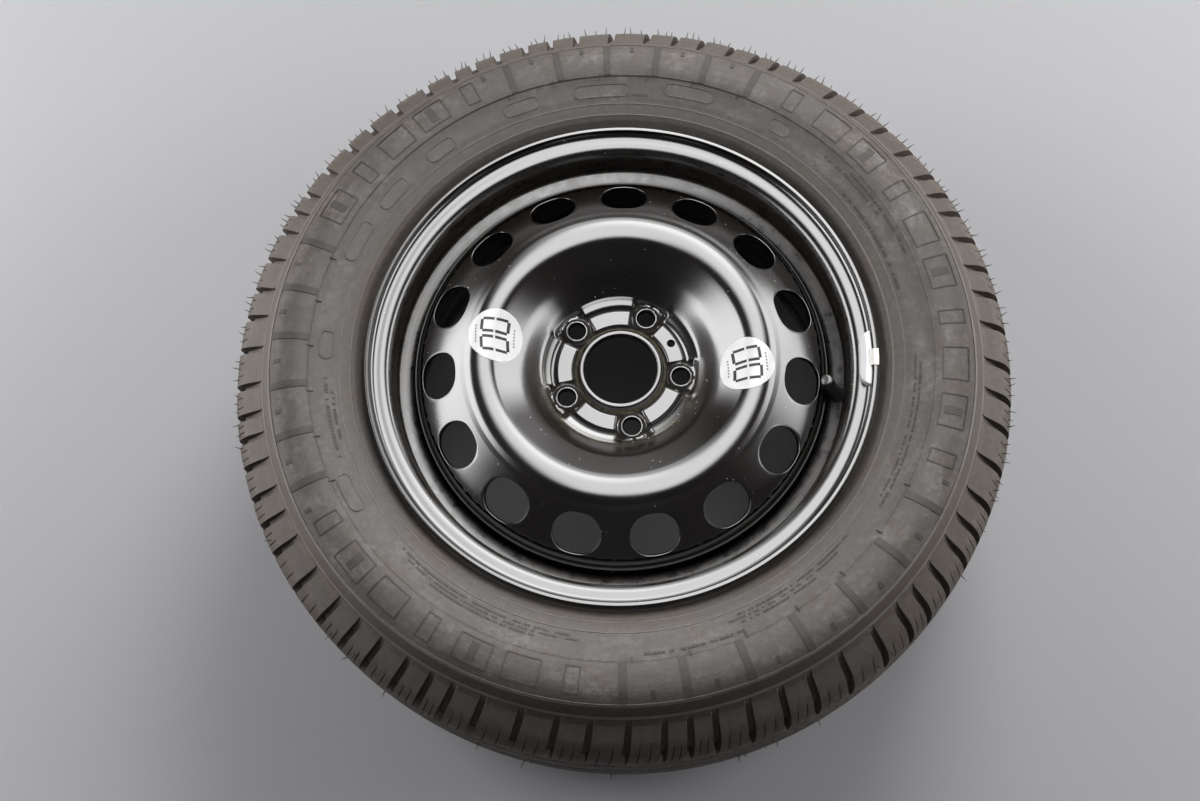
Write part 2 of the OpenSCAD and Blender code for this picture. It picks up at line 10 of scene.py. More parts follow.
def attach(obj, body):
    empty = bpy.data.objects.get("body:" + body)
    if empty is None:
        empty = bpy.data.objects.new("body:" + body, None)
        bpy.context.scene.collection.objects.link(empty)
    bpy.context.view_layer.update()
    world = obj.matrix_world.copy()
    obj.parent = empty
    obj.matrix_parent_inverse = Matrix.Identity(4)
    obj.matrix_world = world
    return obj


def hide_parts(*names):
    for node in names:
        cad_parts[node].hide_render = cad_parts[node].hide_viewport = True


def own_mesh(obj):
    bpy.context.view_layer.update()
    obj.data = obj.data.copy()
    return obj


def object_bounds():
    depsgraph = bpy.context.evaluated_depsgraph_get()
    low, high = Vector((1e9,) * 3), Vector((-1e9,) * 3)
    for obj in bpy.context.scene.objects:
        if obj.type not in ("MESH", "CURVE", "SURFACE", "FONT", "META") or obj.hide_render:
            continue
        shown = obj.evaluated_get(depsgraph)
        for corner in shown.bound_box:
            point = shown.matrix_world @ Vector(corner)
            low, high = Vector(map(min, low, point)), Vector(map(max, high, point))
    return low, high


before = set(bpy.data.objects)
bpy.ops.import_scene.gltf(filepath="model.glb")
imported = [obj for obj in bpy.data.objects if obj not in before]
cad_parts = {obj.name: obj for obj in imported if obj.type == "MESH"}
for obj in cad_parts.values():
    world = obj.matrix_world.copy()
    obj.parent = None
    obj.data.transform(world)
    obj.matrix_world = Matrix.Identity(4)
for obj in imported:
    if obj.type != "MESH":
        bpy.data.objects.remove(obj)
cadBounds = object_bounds()
random.seed(7)

mm = 0.001
wheelOffset = 46          # how far the hub face stands outboard of the rim's middle plane, in mm
fullTurn = 2 * math.pi


# small helpers for outlines, in millimetres until a mesh is finished

def mix(a, b, share):
    return a + (b - a) * share


def smoothStep(low, high, value):
    share = min(1.0, max(0.0, (value - low) / (high - low)))
    return share * share * (3 - 2 * share)


def drawChain(mesh, corners, step=10):
    # corners are (radius, height, rounding, segments); the last two may be left out
    dots = [mesh.verts.new((c[0], 0, c[1])) for c in corners]
    for a, b in zip(dots, dots[1:]):
        mesh.edges.new((a, b))
    spots = [Vector(c[:2]) for c in corners]
    lengths = [(b - a).length for a, b in zip(spots, spots[1:])]
    turns, leads = [0.0], [0.0]
    for before, here, after, corner in zip(spots, spots[1:], spots[2:], corners[1:]):
        rounding = corner[2] if len(corner) > 2 else 0
        turns.append((here - before).angle(after - here, 0.0))
        leads.append(rounding * math.tan(turns[-1] / 2))
    leads.append(0.0)
    # two roundings that would meet on one edge are made smaller in the same measure
    for i, length in enumerate(lengths):
        wanted = leads[i] + leads[i + 1]
        if wanted > 0.97 * length:
            leads[i] *= 0.97 * length / wanted
            leads[i + 1] *= 0.97 * length / wanted
    for dot, corner, turn, lead in list(zip(dots, corners, turns, leads))[1:-1]:
        if lead > 0 and turn > 0.01:
            segments = corner[3] if len(corner) > 3 else max(2, math.ceil(math.degrees(turn) / step))
            bmesh.ops.bevel(mesh, geom=[dot], offset=lead, offset_type='OFFSET', segments=segments,
                            profile=0.5, affect='VERTICES', material=-1, clamp_overlap=False)


def chainPoints(corners):
    # the rounded outline as a plain list of (radius, height), in order of radius
    mesh = bmesh.new()
    drawChain(mesh, corners)
    points = sorted((v.co.x, v.co.z) for v in mesh.verts)
    mesh.free()
    return points


def heightAt(points, radius):
    for (r0, z0), (r1, z1) in zip(points, points[1:]):
        if radius <= r1:
            return z0 + (z1 - z0) * (radius - r0) / max(1e-9, r1 - r0)
    return points[-1][1]


def besideCorners(corners, thickness):
    # the same outline, thickness to the right of its travel, with its roundings kept concentric
    spots = [Vector(c[:2]) for c in corners]
    ways = [(b - a).normalized() for a, b in zip(spots, spots[1:])]
    moved = []
    for corner, spot, inward, onward in zip(corners, spots, ways[:1] + ways, ways + ways[-1:]):
        normalIn = Vector((inward.y, -inward.x))
        normalOn = Vector((onward.y, -onward.x))
        mitre = (normalIn + normalOn).normalized()
        spot = spot + mitre * thickness / mitre.dot(normalIn)
        rounding = corner[2] if len(corner) > 2 else 0
        if rounding:
            turnsLeft = inward.x * onward.y - inward.y * onward.x > 0
            rounding = max(0.3, rounding + (thickness if turnsLeft else -thickness))
        moved.append((spot.x, spot.y, rounding))
    return moved


def shareLongEdges(mesh, longest, wanted):
    # short steps along straight runs keep the shading true right up to their rounded ends
    for edge in [e for e in mesh.edges if wanted(e)]:
        cuts = math.ceil(edge.calc_length() / longest) - 1
        if cuts > 0:
            bmesh.ops.subdivide_edges(mesh, edges=[edge], cuts=cuts)


def spinRound(mesh, steps):
    bmesh.ops.spin(mesh, geom=mesh.verts[:] + mesh.edges[:], cent=(0, 0, 0), axis=(0, 0, 1),
                   angle=fullTurn, steps=steps, use_merge=True)


def turnVerts(mesh, verts, degrees, axis='Z'):
    turned = Matrix.Rotation(math.radians(degrees), 3, axis)
    bmesh.ops.rotate(mesh, cent=(0, 0, 0), matrix=turned, verts=verts)


def polar(spot):
    return math.hypot(spot.x, spot.y), math.atan2(spot.y, spot.x)


def meshData(mesh, name="work"):
    # a finished bmesh as Blender's own mesh
    data = bpy.data.meshes.new(name)
    mesh.to_mesh(data)
    mesh.free()
    return data


def joinInto(mesh, drawn):
    data = meshData(drawn)
    mesh.from_mesh(data)
    bpy.data.meshes.remove(data)


def addObject(name, data):
    added = bpy.data.objects.new(name, data)
    bpy.context.scene.collection.objects.link(added)
    return added


def bakeModifiers(piece):
    # a bmesh of the object with its modifiers applied
    evaluated = piece.evaluated_get(bpy.context.evaluated_depsgraph_get())
    baked = bmesh.new()
    baked.from_mesh(evaluated.to_mesh())
    return baked


def nodeMesh(name):
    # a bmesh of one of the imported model's own pieces, in metres
    mesh = bmesh.new()
    mesh.from_mesh(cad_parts[name].data)
    bmesh.ops.remove_doubles(mesh, verts=mesh.verts, dist=1e-6)
    return mesh


def finishPiece(mesh, name, material, node=None, body="wheel", scale=mm, sharp=35, place=None):
    # turns a bmesh drawn in millimetres into a named piece that rides on its body
    if place:
        bmesh.ops.transform(mesh, matrix=place, verts=mesh.verts)
    bmesh.ops.scale(mesh, vec=(scale, scale, scale), verts=mesh.verts)
    bmesh.ops.recalc_face_normals(mesh, faces=mesh.faces)
    for face in mesh.faces:
        face.smooth = True
    for edge in mesh.edges:
        edge.smooth = len(edge.link_faces) == 2 and edge.calc_face_angle(0) < math.radians(sharp)
    data = meshData(mesh, name)
    piece = addObject(name, data)
    data.materials.append(material)
    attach(piece, body)
    if node:
        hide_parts(node)
    print(name, len(data.vertices), "vertices", len(data.polygons), "faces")
    return piece


# materials

def linear(code):
    parts = [int(code[i:i + 2], 16) / 255 for i in (1, 3, 5)]
    return tuple(c / 12.92 if c <= 0.04045 else ((c + 0.055) / 1.055) ** 2.4 for c in parts) + (1.0,)


def setInputs(node, inputs):
    # an input is given a value, or is linked if it is given another node's output
    for socket, value in inputs.items():
        if isinstance(value, bpy.types.NodeSocket):
            node.id_data.links.new(value, node.inputs[socket])
        else:
            node.inputs[socket].default_value = value


def addNode(tree, kind, *values, named=None, **settings):
    # adds a node with its settings, its values and links in order or by name, and gives its outputs
    node = tree.nodes.new("ShaderNode" + kind)
    for setting, value in settings.items():
        setattr(node, setting, value)
    setInputs(node, {**dict(enumerate(values)), **(named or {})})
    return node.outputs


def newMaterial(name, colour, roughness, metallic=0.0, ior=1.5, gloss=0.5):
    material = bpy.data.materials.new(name)
    material.use_nodes = True
    shader = material.node_tree.nodes["Principled BSDF"]
    setInputs(shader, {"Base Color": linear(colour), "Roughness": roughness, "Metallic": metallic,
                       "Specular IOR Level": gloss})
    if not metallic:
        setInputs(shader, {"IOR": ior})
    add = partial(addNode, material.node_tree)
    return material, add, shader, add("TexCoord")["Object"]


def polarCoords(add, coords):
    # radius in metres, turn from 0 to 1 around the wheel's axis, and height
    x, y, z = add("SeparateXYZ", coords)
    radius = add("VectorMath", add("CombineXYZ", x, y)[0], operation="LENGTH")["Value"]
    angle = add("Math", y, x, operation="ARCTAN2")[0]
    return radius, add("MapRange", angle, -math.pi, math.pi)[0], z


def ringShare(add, radius, ring, most=1.0):
    # rises to its most between the first two radii, in mm, and falls to 0 between the last two
    rise, full, fall, end = (r * mm for r in ring)
    return add("MapRange", radius, rise, full, 0, add("MapRange", radius, end, fall, 0, most)[0])[0]


def layCovers(add, colour, covers):
    # each cover is the share and the shade of what lies over the colour so far
    for share, shade in covers:
        colour = add("Mix", share, named={6: colour, 7: linear(shade)}, data_type="RGBA")[2]
    return colour


print("materials")

# gloss black electrocoat on pressed steel: deep brownish black with clear reflections, brown oil around
# the hub whose olive brown colour is partly a painted sheen, dull dust on the rim's ledge and scattered
# pale specks; the noises are (size in mm, detail, roughness), the covers (shade, most, what it adds to the
# roughness)
coatLook = {
    "base": "#15100b", "rough": 0.19, "smearRough": 0.10, "ior": 1.6,
    "smear": (45, 4, 0.5), "cloud": (8, 4, 0.65), "patch": (24, 2, 0.5), "peel": (3.2, 2, 0.5),
    "speckSize": 7, "oilSheen": ("#5d5132", 0.55, 0.12), "film": ("#2f2924", 0.35, 0.22),
    "speck": ("#b9b2aa", 1.0, 0.4), "oilSheenGroove": (37.5, 38.8, 40.5, 42.5), "oilSheenFoot": (65.5, 68, 70, 80),
    "footMost": 0.6, "ledge": (183.5, 187, 200, 203),
}


def makeBlackCoat():
    look = coatLook
    name = "gloss_black_electrocoat"
    material, add, shader, coords = newMaterial(name, look["base"], look["rough"], ior=look["ior"])
    radius = polarCoords(add, coords)[0]
    smear, cloud, patch, peel = (
        add("TexNoise", coords, 0, 1 / (size * mm), detail, rough)[0]
        for size, detail, rough in (look["smear"], look["cloud"], look["patch"], look["peel"]))
    dots = add("TexVoronoi", coords, 0, 1 / (look["speckSize"] * mm))["Distance"]
    speck = add("MapRange", dots, 0.085, 0.05, 0, add("MapRange", patch, 0.52, 0.6)[0])[0]
    # oil with a painted brown sheen lies in the groove outside the collar, and on the outer part of the pad
    # towards the lower side, where the sheen shows
    lower = add("MapRange", add("SeparateXYZ", coords)[1], 20 * mm, -30 * mm, 0, look["footMost"])[0]
    oilSheenFoot = ringShare(add, radius, look["oilSheenFoot"], lower)
    oilSheenGroove = ringShare(add, radius, look["oilSheenGroove"])
    oilSheen = add("MapRange", cloud, 0.38, 0.6, 0, add("Math", oilSheenFoot, oilSheenGroove)[0])[0]
    film = ringShare(add, radius, look["ledge"], add("MapRange", cloud, 0.2, 0.65)[0])
    covers = []
    rough = add("Math", smear, look["smearRough"], look["rough"] - 0.05, operation="MULTIPLY_ADD")[0]
    for cover, (shade, most, dulling) in ((oilSheen, look["oilSheen"]), (film, look["film"]), (speck, look["speck"])):
        covers.append((add("Math", cover, most, operation="MULTIPLY")[0], shade))
        rough = add("Math", cover, dulling, rough, operation="MULTIPLY_ADD")[0]
    lumps = add("Math", cloud, oilSheen, operation="MULTIPLY")[0]
    peel = add("Math", lumps, 3.0, peel, operation="MULTIPLY_ADD")[0]
    setInputs(shader, {"Base Color": layCovers(add, linear(look["base"]), covers), "Roughness": rough,
                       "Normal": add("Bump", 0.05, 0.25 * mm, named={"Height": peel})[0]})
    return material


# moulded tyre rubber: brownish dark grey and matt, with fine rings from the mould, chalky smears on
# the sidewall and a darker, browner tread
rubberLook = {
    "base": "#4b4744", "brown": "#4c443d", "chalk": "#969390", "tread": "#4a423b", "strip": "#352d27",
    "rough": 0.5, "gloss": 0.11, "smearStretch": 0.6, "side": (236, 250, 292, 302),
    "inner": (232, 242, 258, 278), "betweenRidges": (301.4, 301.8, 307.6, 308.0), "ridgeEdge": 0.4,
    "rubbed": ((221.6, 222.8), (232.8, 233.8), (241.9, 243.1), (299.9, 301.2), (308.2, 309.4)),
}


def makeTyreRubber(name, chalkMost, shade):
    look = rubberLook
    material, add, shader, coords = newMaterial(name, look["base"], look["rough"], gloss=look["gloss"])
    radius, turn, height = polarCoords(add, coords)
    # stretched along the turn, the noise gives smears that follow the sidewall
    wrapped = add("CombineXYZ", radius, add("Math", turn, look["smearStretch"], operation="MULTIPLY")[0])[0]
    across = add("CombineXYZ", radius, height)[0]
    # each noise: where it is read, its size in mm, its detail and its roughness
    broad, smear, rub, rings, grain = (
        add("TexNoise", place, 0, 1 / (size * mm), detail, rough)[0] for place, size, detail, rough in (
            (coords, 60, 5, 0.6), (wrapped, 14, 6, 0.65), (coords, 6, 5, 0.7), (across, 1.2, 2, 0.5),
            (coords, 1.0, 3, 0.5)))
    chalk = ringShare(add, radius, look["side"], chalkMost)
    for noise, low, high in ((smear, 0.42, 0.68), (broad, 0.4, 0.6), (rub, 0.3, 0.62)):
        chalk = add("MapRange", noise, low, high, 0, chalk)[0]
    covers = [(add("MapRange", broad, 0.38, 0.62)[0], look["brown"]),
              (add("MapRange", radius, 298 * mm, 304 * mm, 0, 0.85)[0], look["brown"]),
              (add("MapRange", radius, 328 * mm, 340 * mm, 0, 0.8)[0], look["tread"]),
              (chalk, look["chalk"])]
    # the inner sidewall is dustier, and the strip between the two outer ridges stays darker
    covers += [(ringShare(add, radius, look["inner"], 0.13), look["chalk"]),
               (add("MapRange", rub, 0.42, 0.68, 0, 0.10)[0], look["chalk"]),
               (ringShare(add, radius, look["betweenRidges"], 0.5), look["strip"])]
    # every ridge is rubbed pale along its top
    worn, edge = add("MapRange", smear, 0.2, 0.5, 0, 0.4)[0], look["ridgeEdge"]
    for low, high in look["rubbed"]:
        covers.append((ringShare(add, radius, (low - edge, low, high, high + edge), worn), look["chalk"]))
    # a shade below 1 lays black over all of it, for the darker copies
    covers.append((1 - shade, "#000000"))
    rough = add("Math", smear, 0.25, look["rough"] - 0.1, operation="MULTIPLY_ADD")[0]
    relief = 0.0
    for noise, depth in ((rings, 0.7), (grain, 0.8), (rub, 1.5)):
        relief = add("Math", noise, depth, relief, operation="MULTIPLY_ADD")[0]
    setInputs(shader, {"Base Color": layCovers(add, linear(look["base"]), covers), "Roughness": rough,
                       "Normal": add("Bump", 0.4, 0.4 * mm, named={"Height": relief})[0]})
    return material


def makePlain(name, colour, roughness, tint=None, grainSize=1.5, relief=0.08, **settings):
    # a plain material with grain of a real size in its colour, roughness and relief
    material, add, shader, coords = newMaterial(name, colour, roughness, **settings)
    sizes = (grainSize, 9 * grainSize)
    grain, cloud = (add("TexNoise", coords, 0, 1 / (size * mm), 3)[0] for size in sizes)
    mixed = layCovers(add, linear(colour), [(add("MapRange", cloud, 0.35, 0.7)[0], tint or colour)])
    rough = add("Math", grain, 0.12, roughness - 0.06, operation="MULTIPLY_ADD")[0]
    setInputs(shader, {"Base Color": mixed, "Roughness": rough,
                       "Normal": add("Bump", relief, 0.2 * mm, named={"Height": grain})[0]})
    return material


# painted shade in the hub's grooves: a dull brownish black that darkens the pad's low parts, with olive
# brown oil beside the collar whose colour is partly a painted sheen
hubShadeLook = {"base": "#16120e", "oilSheen": "#6b6650", "rough": 0.75, "gloss": 0.08, "cloudSize": 5,
             "ring": (37.5, 38.5, 40, 41.5)}


def makeHubShade():
    look = hubShadeLook
    material, add, shader, coords = newMaterial("hub_painted_shade_and_oil", look["base"], look["rough"],
                                                gloss=look["gloss"])
    cloud = add("TexNoise", coords, 0, 1 / (look["cloudSize"] * mm), 4)[0]
    patchy = add("MapRange", cloud, 0.2, 0.6)[0]
    oilSheen = ringShare(add, polarCoords(add, coords)[0], look["ring"], patchy)
    setInputs(shader, {"Base Color": layCovers(add, linear(look["base"]), [(oilSheen, look["oilSheen"])]),
                       "Normal": add("Bump", 0.2, 0.3 * mm, named={"Height": cloud})[0]})
    return material


# the gloss black, the hub's painted shade and three copies of the rubber, as described above their
# functions; the marks' copy is darkened as painted shadow, the hairs' copy darker still
blackCoat = makeBlackCoat()
hubShadeAndOil = makeHubShade()
tyreRubber = makeTyreRubber("moulded_tyre_rubber", 0.8, 1.0)
# darker copy for the marks: painted shadow along the panels' raised outlines, and darker smooth bars
markShadeRubber = makeTyreRubber("polished_marks_painted_shadow", 0.3, 0.5)
hairRubber = makeTyreRubber("thin_rubber_hair", 0.0, 0.35)
# smooth pale grey coating that bleaches out under the lamps
weightCoat = makePlain("plastic_coated_zinc", "#e4e5e8", 0.42, "#dcdddf", 2.5)
# slightly creamier coating on the clip, which sets it off from the weight
clipCoat = makePlain("coated_spring_steel_clip", "#dedad2", 0.4, "#d0c9bc")
# dull soft black of the valve's body
valveRubber = makePlain("moulded_valve_rubber", "#1b1a18", 0.5, "#24221f")
# harder black that glints on the cap's ribs and rim
capPlastic = makePlain("moulded_black_nylon", "#1f1d1a", 0.32, "#2b2824", 0.8)
# warm metal with fine turning grain, seen once the cap is off
turnedBrass = makePlain("turned_brass", "#b9924c", 0.28, "#a98244", 0.5, metallic=1.0)
# bright grey wire
springSteel = makePlain("drawn_spring_steel", "#a9a8a6", 0.3, grainSize=0.4, metallic=1.0)
# flat brownish black of small seals
softSeal = makePlain("nitrile_seal", "#26211f", 0.6, "#2e2926", 0.6)
# lumpy bead under the same dark coat as the sheet
weldBead = makePlain("coated_weld_bead", "#17130f", 0.35, "#2a241d", 1.2, 0.5)
# clean white film, the brightest thing on the wheel
stickerFilm = makePlain("white_printed_vinyl", "#f8f8f7", 0.5, "#f1f1f0", 1.2, 0.03, gloss=0.4)
# solid dark printing of the figures
stickerInk = makePlain("black_screen_ink", "#1c1b1a", 0.6, "#3c3b3a", 0.9, 0.03, gloss=0.15)
# faint worn printing of the small dashes
paleInk = makePlain("grey_screen_ink", "#8f8e8c", 0.6, "#9b9a98", 0.9, 0.03, gloss=0.15)

nodeFinish = {
    "disc_welds": weldBead, "valve_stem": turnedBrass, "core_plug": turnedBrass, "core_barrel": turnedBrass,
    "core_seal": softSeal, "core_pin": turnedBrass, "pin_seal": softSeal,
    "cap_seal": softSeal, "weight_clip": clipCoat,
}
for nodeName, material in nodeFinish.items():
    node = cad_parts[nodeName]
    node.data.materials.clear()
    node.data.materials.append(material)


# disc: hub pad with bosses, bowl, crown, cone with oval vents, corner and skirt
print("disc")
disc = {
    "columns": 480, "sheet": 4.0, "boreR": 32.55, "collarTop": 8.0, "collarR": 36.25, "collarFoot": 37.75,
    "bowlSlope": 39.0, "footSlope": 48.0, "footRound": 12, "bowlTurnR": 86.0, "bowlRound": 70,
    "crownR": 120.0, "crownH": 47.6, "crownRound": 20.0, "crownFall": 34.5,
    "creaseOut": 14.8, "creaseW": 4, "edgeR": 182.5, "edgeRound": 8, "skirtEnd": -22.0, "coneSlope": 30.7,
    "ventR": 158.9, "ventZ": 28.2, "vents": 15, "ventW": 42.0, "ventL": 36.0, "ventEdge": 0.9,
    "ventRows": 12, "bandIn": 140.0, "bandOut": 176.6, "flatTo": 177.9, "backFlatTo": 177.4,
    "bolts": 5, "boltR": 54.0, "boltHoleR": 7.3, "seatR": 8.6, "seatSlope": 30,
    "bossH": 1.5, "bossSlope": 0.6,
    "plateIn": 44.4, "plateOut": 55.4, "plateH": 0.8, "plateArc": 18.5,
    "ridgeIn": 62.8, "ridgeOut": 65.4, "ridgeH": 1.5, "ridgeArc": 19.5,
    "lobeR": 67.0, "lobeOut": 2.4, "lobeH": 1.3, "reliefSlope": 0.9, "reliefRound": 1.3, "reliefSoft": 0.22,
    "locatingR": 51.5, "locatingHoleR": 3.5, "groundH": -1.7, "shadeH": -0.35, "shadeRingW": 3.4,
    "padEnd": 78, "padCuts": 60,
}


def coneZ(radius):
    return disc["ventZ"] - (radius - disc["ventR"]) * math.tan(math.radians(disc["coneSlope"]))


def onCone(radius):
    return radius, coneZ(radius)


def discCorners():
    # the disc's outboard outline, from the pad out to the lower edge of the skirt
    rise, fall = math.radians(disc["bowlSlope"]), math.radians(disc["crownFall"])
    reach = disc["crownRound"] / math.cos((rise + fall) / 2)
    lean = (rise - fall) / 2
    centreZ = disc["crownH"] - disc["crownRound"]
    crown = (disc["crownR"] - reach * math.sin(lean), centreZ + reach * math.cos(lean))
    turnR = disc["bowlTurnR"]
    turnZ = crown[1] - (crown[0] - turnR) * math.tan(rise)
    footR = turnR - (turnZ - disc["sheet"]) / math.tan(math.radians(disc["footSlope"]))
    crease = disc["crownR"] + disc["creaseOut"]
    return [(footR, disc["sheet"], disc["footRound"], 9), (turnR, turnZ, disc["bowlRound"], 5),
            crown + (disc["crownRound"], 18), (crease, coneZ(crease) - 0.25, 5, 4),
            onCone(crease + disc["creaseW"]) + (8, 2), onCone(disc["edgeR"]) + (disc["edgeRound"],),
            (disc["edgeR"], disc["skirtEnd"], 0)]


def boltPlace(radius, angle):
    # turn from the nearest bolt's line in radians, and the distance to that bolt
    pitch = fullTurn / disc["bolts"]
    fromBolt = (angle + pitch / 2) % pitch - pitch / 2
    return fromBolt, math.hypot(radius * math.cos(fromBolt) - disc["boltR"], radius * math.sin(fromBolt))


def padRelief(radius, angle):
    # height of the pad's plates, ridge segments, bosses and lobed edge over its plain level:
    # every feature falls away from its flat top at its own slope, and the highest one counts
    fromBolt, toBolt = boltPlace(radius, angle)
    fromMiddle = math.degrees(math.pi / disc["bolts"] - abs(fromBolt))
    lobe = disc["lobeR"] + disc["lobeOut"] * smoothStep(17, 11, math.degrees(abs(fromBolt)))

    def beside(name):
        across = max(disc[name + "In"] - radius, radius - disc[name + "Out"], 0)
        along = math.radians(max(0, fromMiddle - disc[name + "Arc"])) * radius
        return math.hypot(across, along)

    soft, rounding, slope = disc["reliefSoft"], disc["reliefRound"], disc["reliefSlope"]
    falls = [(disc["plateH"], beside("plate"), slope), (disc["ridgeH"], beside("ridge"), slope),
             (disc["bossH"], max(0, toBolt - disc["seatR"] - 0.3), disc["bossSlope"]),
             (disc["lobeH"], max(0, lobe - radius), slope)]
    heights = [top - (math.hypot(off, rounding) - rounding) * slope for top, off, slope in falls]
    joined = soft * math.log(sum(math.exp(h / soft) for h in heights + [disc["groundH"]]))
    foot = disc["collarFoot"]
    return joined * smoothStep(foot, foot + 3.0, radius) * smoothStep(lobe + 4.5, lobe + 0.3, radius)


def boltCutter(mesh, radius, seat, top, x, degrees):
    # a round cutter with a conical mouth and a soft upper edge
    mouth = top - (seat - radius) / math.tan(math.radians(disc["seatSlope"]))
    drawn = bmesh.new()
    drawChain(drawn, [(0.001, -2), (radius, -2), (radius, mouth), (seat, top), (seat + 0.25, top + 0.12),
                      (seat + 0.9, top + 0.25), (seat + 0.9, top + 4), (0.001, top + 4)])
    spinRound(drawn, 96)
    bmesh.ops.remove_doubles(drawn, verts=drawn.verts, dist=0.01)
    bmesh.ops.recalc_face_normals(drawn, faces=drawn.faces)
    bmesh.ops.translate(drawn, vec=(x, 0, 0), verts=drawn.verts)
    turnVerts(drawn, drawn.verts, degrees)
    joinInto(mesh, drawn)


def cutAway(mesh, cutters):
    # takes the cutters, drawn in one bmesh, out of the mesh
    body, tool = addObject("body", meshData(mesh)), addObject("tool", meshData(cutters))
    cut = body.modifiers.new("cut", 'BOOLEAN')
    cut.object = tool
    cut.operation = 'DIFFERENCE'
    cut.solver = 'EXACT'
    result = bakeModifiers(body)
    for used in (body, tool):
        bpy.data.meshes.remove(used.data)
    return result


def makeVentBand():
    # the cone's band with its vents: one sector is a grid's edge bridged to an oval, then turned round
    sectorColumns, rows = disc["columns"] // disc["vents"], disc["ventRows"]
    band = bmesh.new()
    bmesh.ops.create_grid(band, x_segments=sectorColumns, y_segments=rows, size=0.5)
    inside = [v for v in band.verts if not v.is_boundary]
    bmesh.ops.delete(band, geom=inside, context='VERTS')
    border = band.edges[:]
    bmesh.ops.create_circle(band, segments=2 * (sectorColumns + rows), radius=1)
    oval = [e for e in band.edges if e not in set(border)]
    halfSlide = (disc["ventW"] - disc["ventL"]) / 2
    slope = math.radians(disc["coneSlope"])
    sector = fullTurn / disc["vents"]
    ovalDots = {v for e in oval for v in e.verts}
    # the border takes its place as radius and angle, the oval as a slot square to the cone
    for v in band.verts:
        if v in ovalDots:
            # dots of the circle lie thicker towards the corners, as the border's do
            turn = math.atan2(v.co.y, v.co.x)
            slide = math.copysign(halfSlide, math.sin(turn)) * min(1, abs(math.sin(turn)) * 3)
            across = math.sin(turn) * disc["ventL"] / 2 + slide
            out = disc["ventR"] + math.cos(turn) * disc["ventL"] / 2 * math.cos(slope)
            r, angle = math.hypot(out, across), math.atan2(across, out)
        else:
            r = disc["bandIn"] + (v.co.y + 0.5) * (disc["bandOut"] - disc["bandIn"])
            angle = v.co.x * sector
        v.co = (r * math.cos(angle), r * math.sin(angle), coneZ(r))
    bmesh.ops.bridge_loops(band, edges=border + oval)
    spokes = [e for e in band.edges if (e.verts[0] in ovalDots) != (e.verts[1] in ovalDots)]
    bmesh.ops.subdivide_edges(band, edges=spokes, cuts=4, use_grid_fill=True)
    for v in band.verts:
        v.co.z = coneZ(polar(v.co)[0])
    bmesh.ops.spin(band, geom=band.verts[:] + band.edges[:] + band.faces[:], cent=(0, 0, 0), axis=(0, 0, 1),
                   angle=fullTurn, steps=disc["vents"], use_duplicate=True)
    bmesh.ops.remove_doubles(band, verts=band.verts, dist=0.02)
    return band


def isInPaintedShade(face):
    # painted shade: the low parts of the pad and a ring beside each bolt's seat take the dull dark material
    spot = face.calc_center_median()
    radius, angle = polar(spot)
    fromSeat = boltPlace(radius, angle)[1] - disc["seatR"]
    low = spot.z - disc["sheet"] < disc["shadeH"] or 0.8 < fromSeat < disc["shadeRingW"]
    level = abs(face.normal.z) > 0.3 and spot.z > 0 and min(v.co.z for v in face.verts) > 1
    return low and level and disc["collarFoot"] - 1 < radius < disc["lobeR"] + 0.5


def under(radius):
    # the spot on the sheet's back that lies square below a spot on the cone
    slope = math.radians(disc["coneSlope"])
    return radius - disc["sheet"] * math.sin(slope), coneZ(radius) - disc["sheet"] * math.cos(slope)


def backCorners():
    return besideCorners([(disc["boreR"], disc["sheet"])] + discCorners(), disc["sheet"])


def levelEdges(mesh, height):
    return [e for e in mesh.edges if all(abs(v.co.z - height) < 0.01 for v in e.verts)]


def makeHubPart():
    # from the cone in over crown, bowl and pad to the collar, and back underneath
    thin, top, bore, collar = disc["sheet"], disc["collarTop"], disc["boreR"], disc["collarR"]
    rings = [(collar + 2.4, thin, 1.6, 5), (collar, top - 2.2, 1.2, 3), (collar, top, 0.9, 4),
             (bore, top, 1.3, 4), (bore, 0, 0.4, 2)]
    bandIn = disc["bandIn"]
    mesh = bmesh.new()
    drawChain(mesh, [onCone(bandIn)] + discCorners()[4::-1] + rings + backCorners()[1:6] + [under(bandIn)])
    padEdges = [e for e in levelEdges(mesh, thin) if e.calc_length() > 15]
    bmesh.ops.subdivide_edges(mesh, edges=padEdges, cuts=disc["padCuts"])
    shareLongEdges(mesh, 5, lambda e: min(v.co.z for v in e.verts) > 5)
    bmesh.ops.subdivide_edges(mesh, edges=levelEdges(mesh, 0), cuts=4)
    spinRound(mesh, disc["columns"])
    for v in mesh.verts:
        r, angle = polar(v.co)
        if v.co.z > thin - 0.1 and disc["collarFoot"] < r < disc["padEnd"]:
            v.co.z += padRelief(r, angle)
    return mesh


def cutHoles(mesh):
    # bolt holes with their seats, and the small locating hole between two of them
    cutters = bmesh.new()
    pitch, thin, holeR = 360 / disc["bolts"], disc["sheet"], disc["locatingHoleR"]
    seatTop = thin + disc["bossH"]
    for i in range(disc["bolts"]):
        boltCutter(cutters, disc["boltHoleR"], disc["seatR"], seatTop, disc["boltR"], i * pitch)
    boltCutter(cutters, holeR, holeR + 0.2, thin + disc["plateH"], disc["locatingR"], pitch / 2)
    return cutAway(mesh, cutters)


def makeSkirt():
    # corner and skirt, with a narrow flat row that keeps the corner's shading off the vents
    edge, end, thin, bandOut = disc["edgeR"], disc["skirtEnd"], disc["sheet"], disc["bandOut"]
    skirt = bmesh.new()
    drawChain(skirt, [onCone(bandOut), onCone(disc["flatTo"]), discCorners()[5][:2] + (9,),
                      (edge, end, 0.6, 2), (edge - thin, end, 0.6, 2), backCorners()[6][:2] + (6,),
                      under(disc["backFlatTo"]), under(bandOut)])
    spinRound(skirt, disc["columns"])
    return skirt


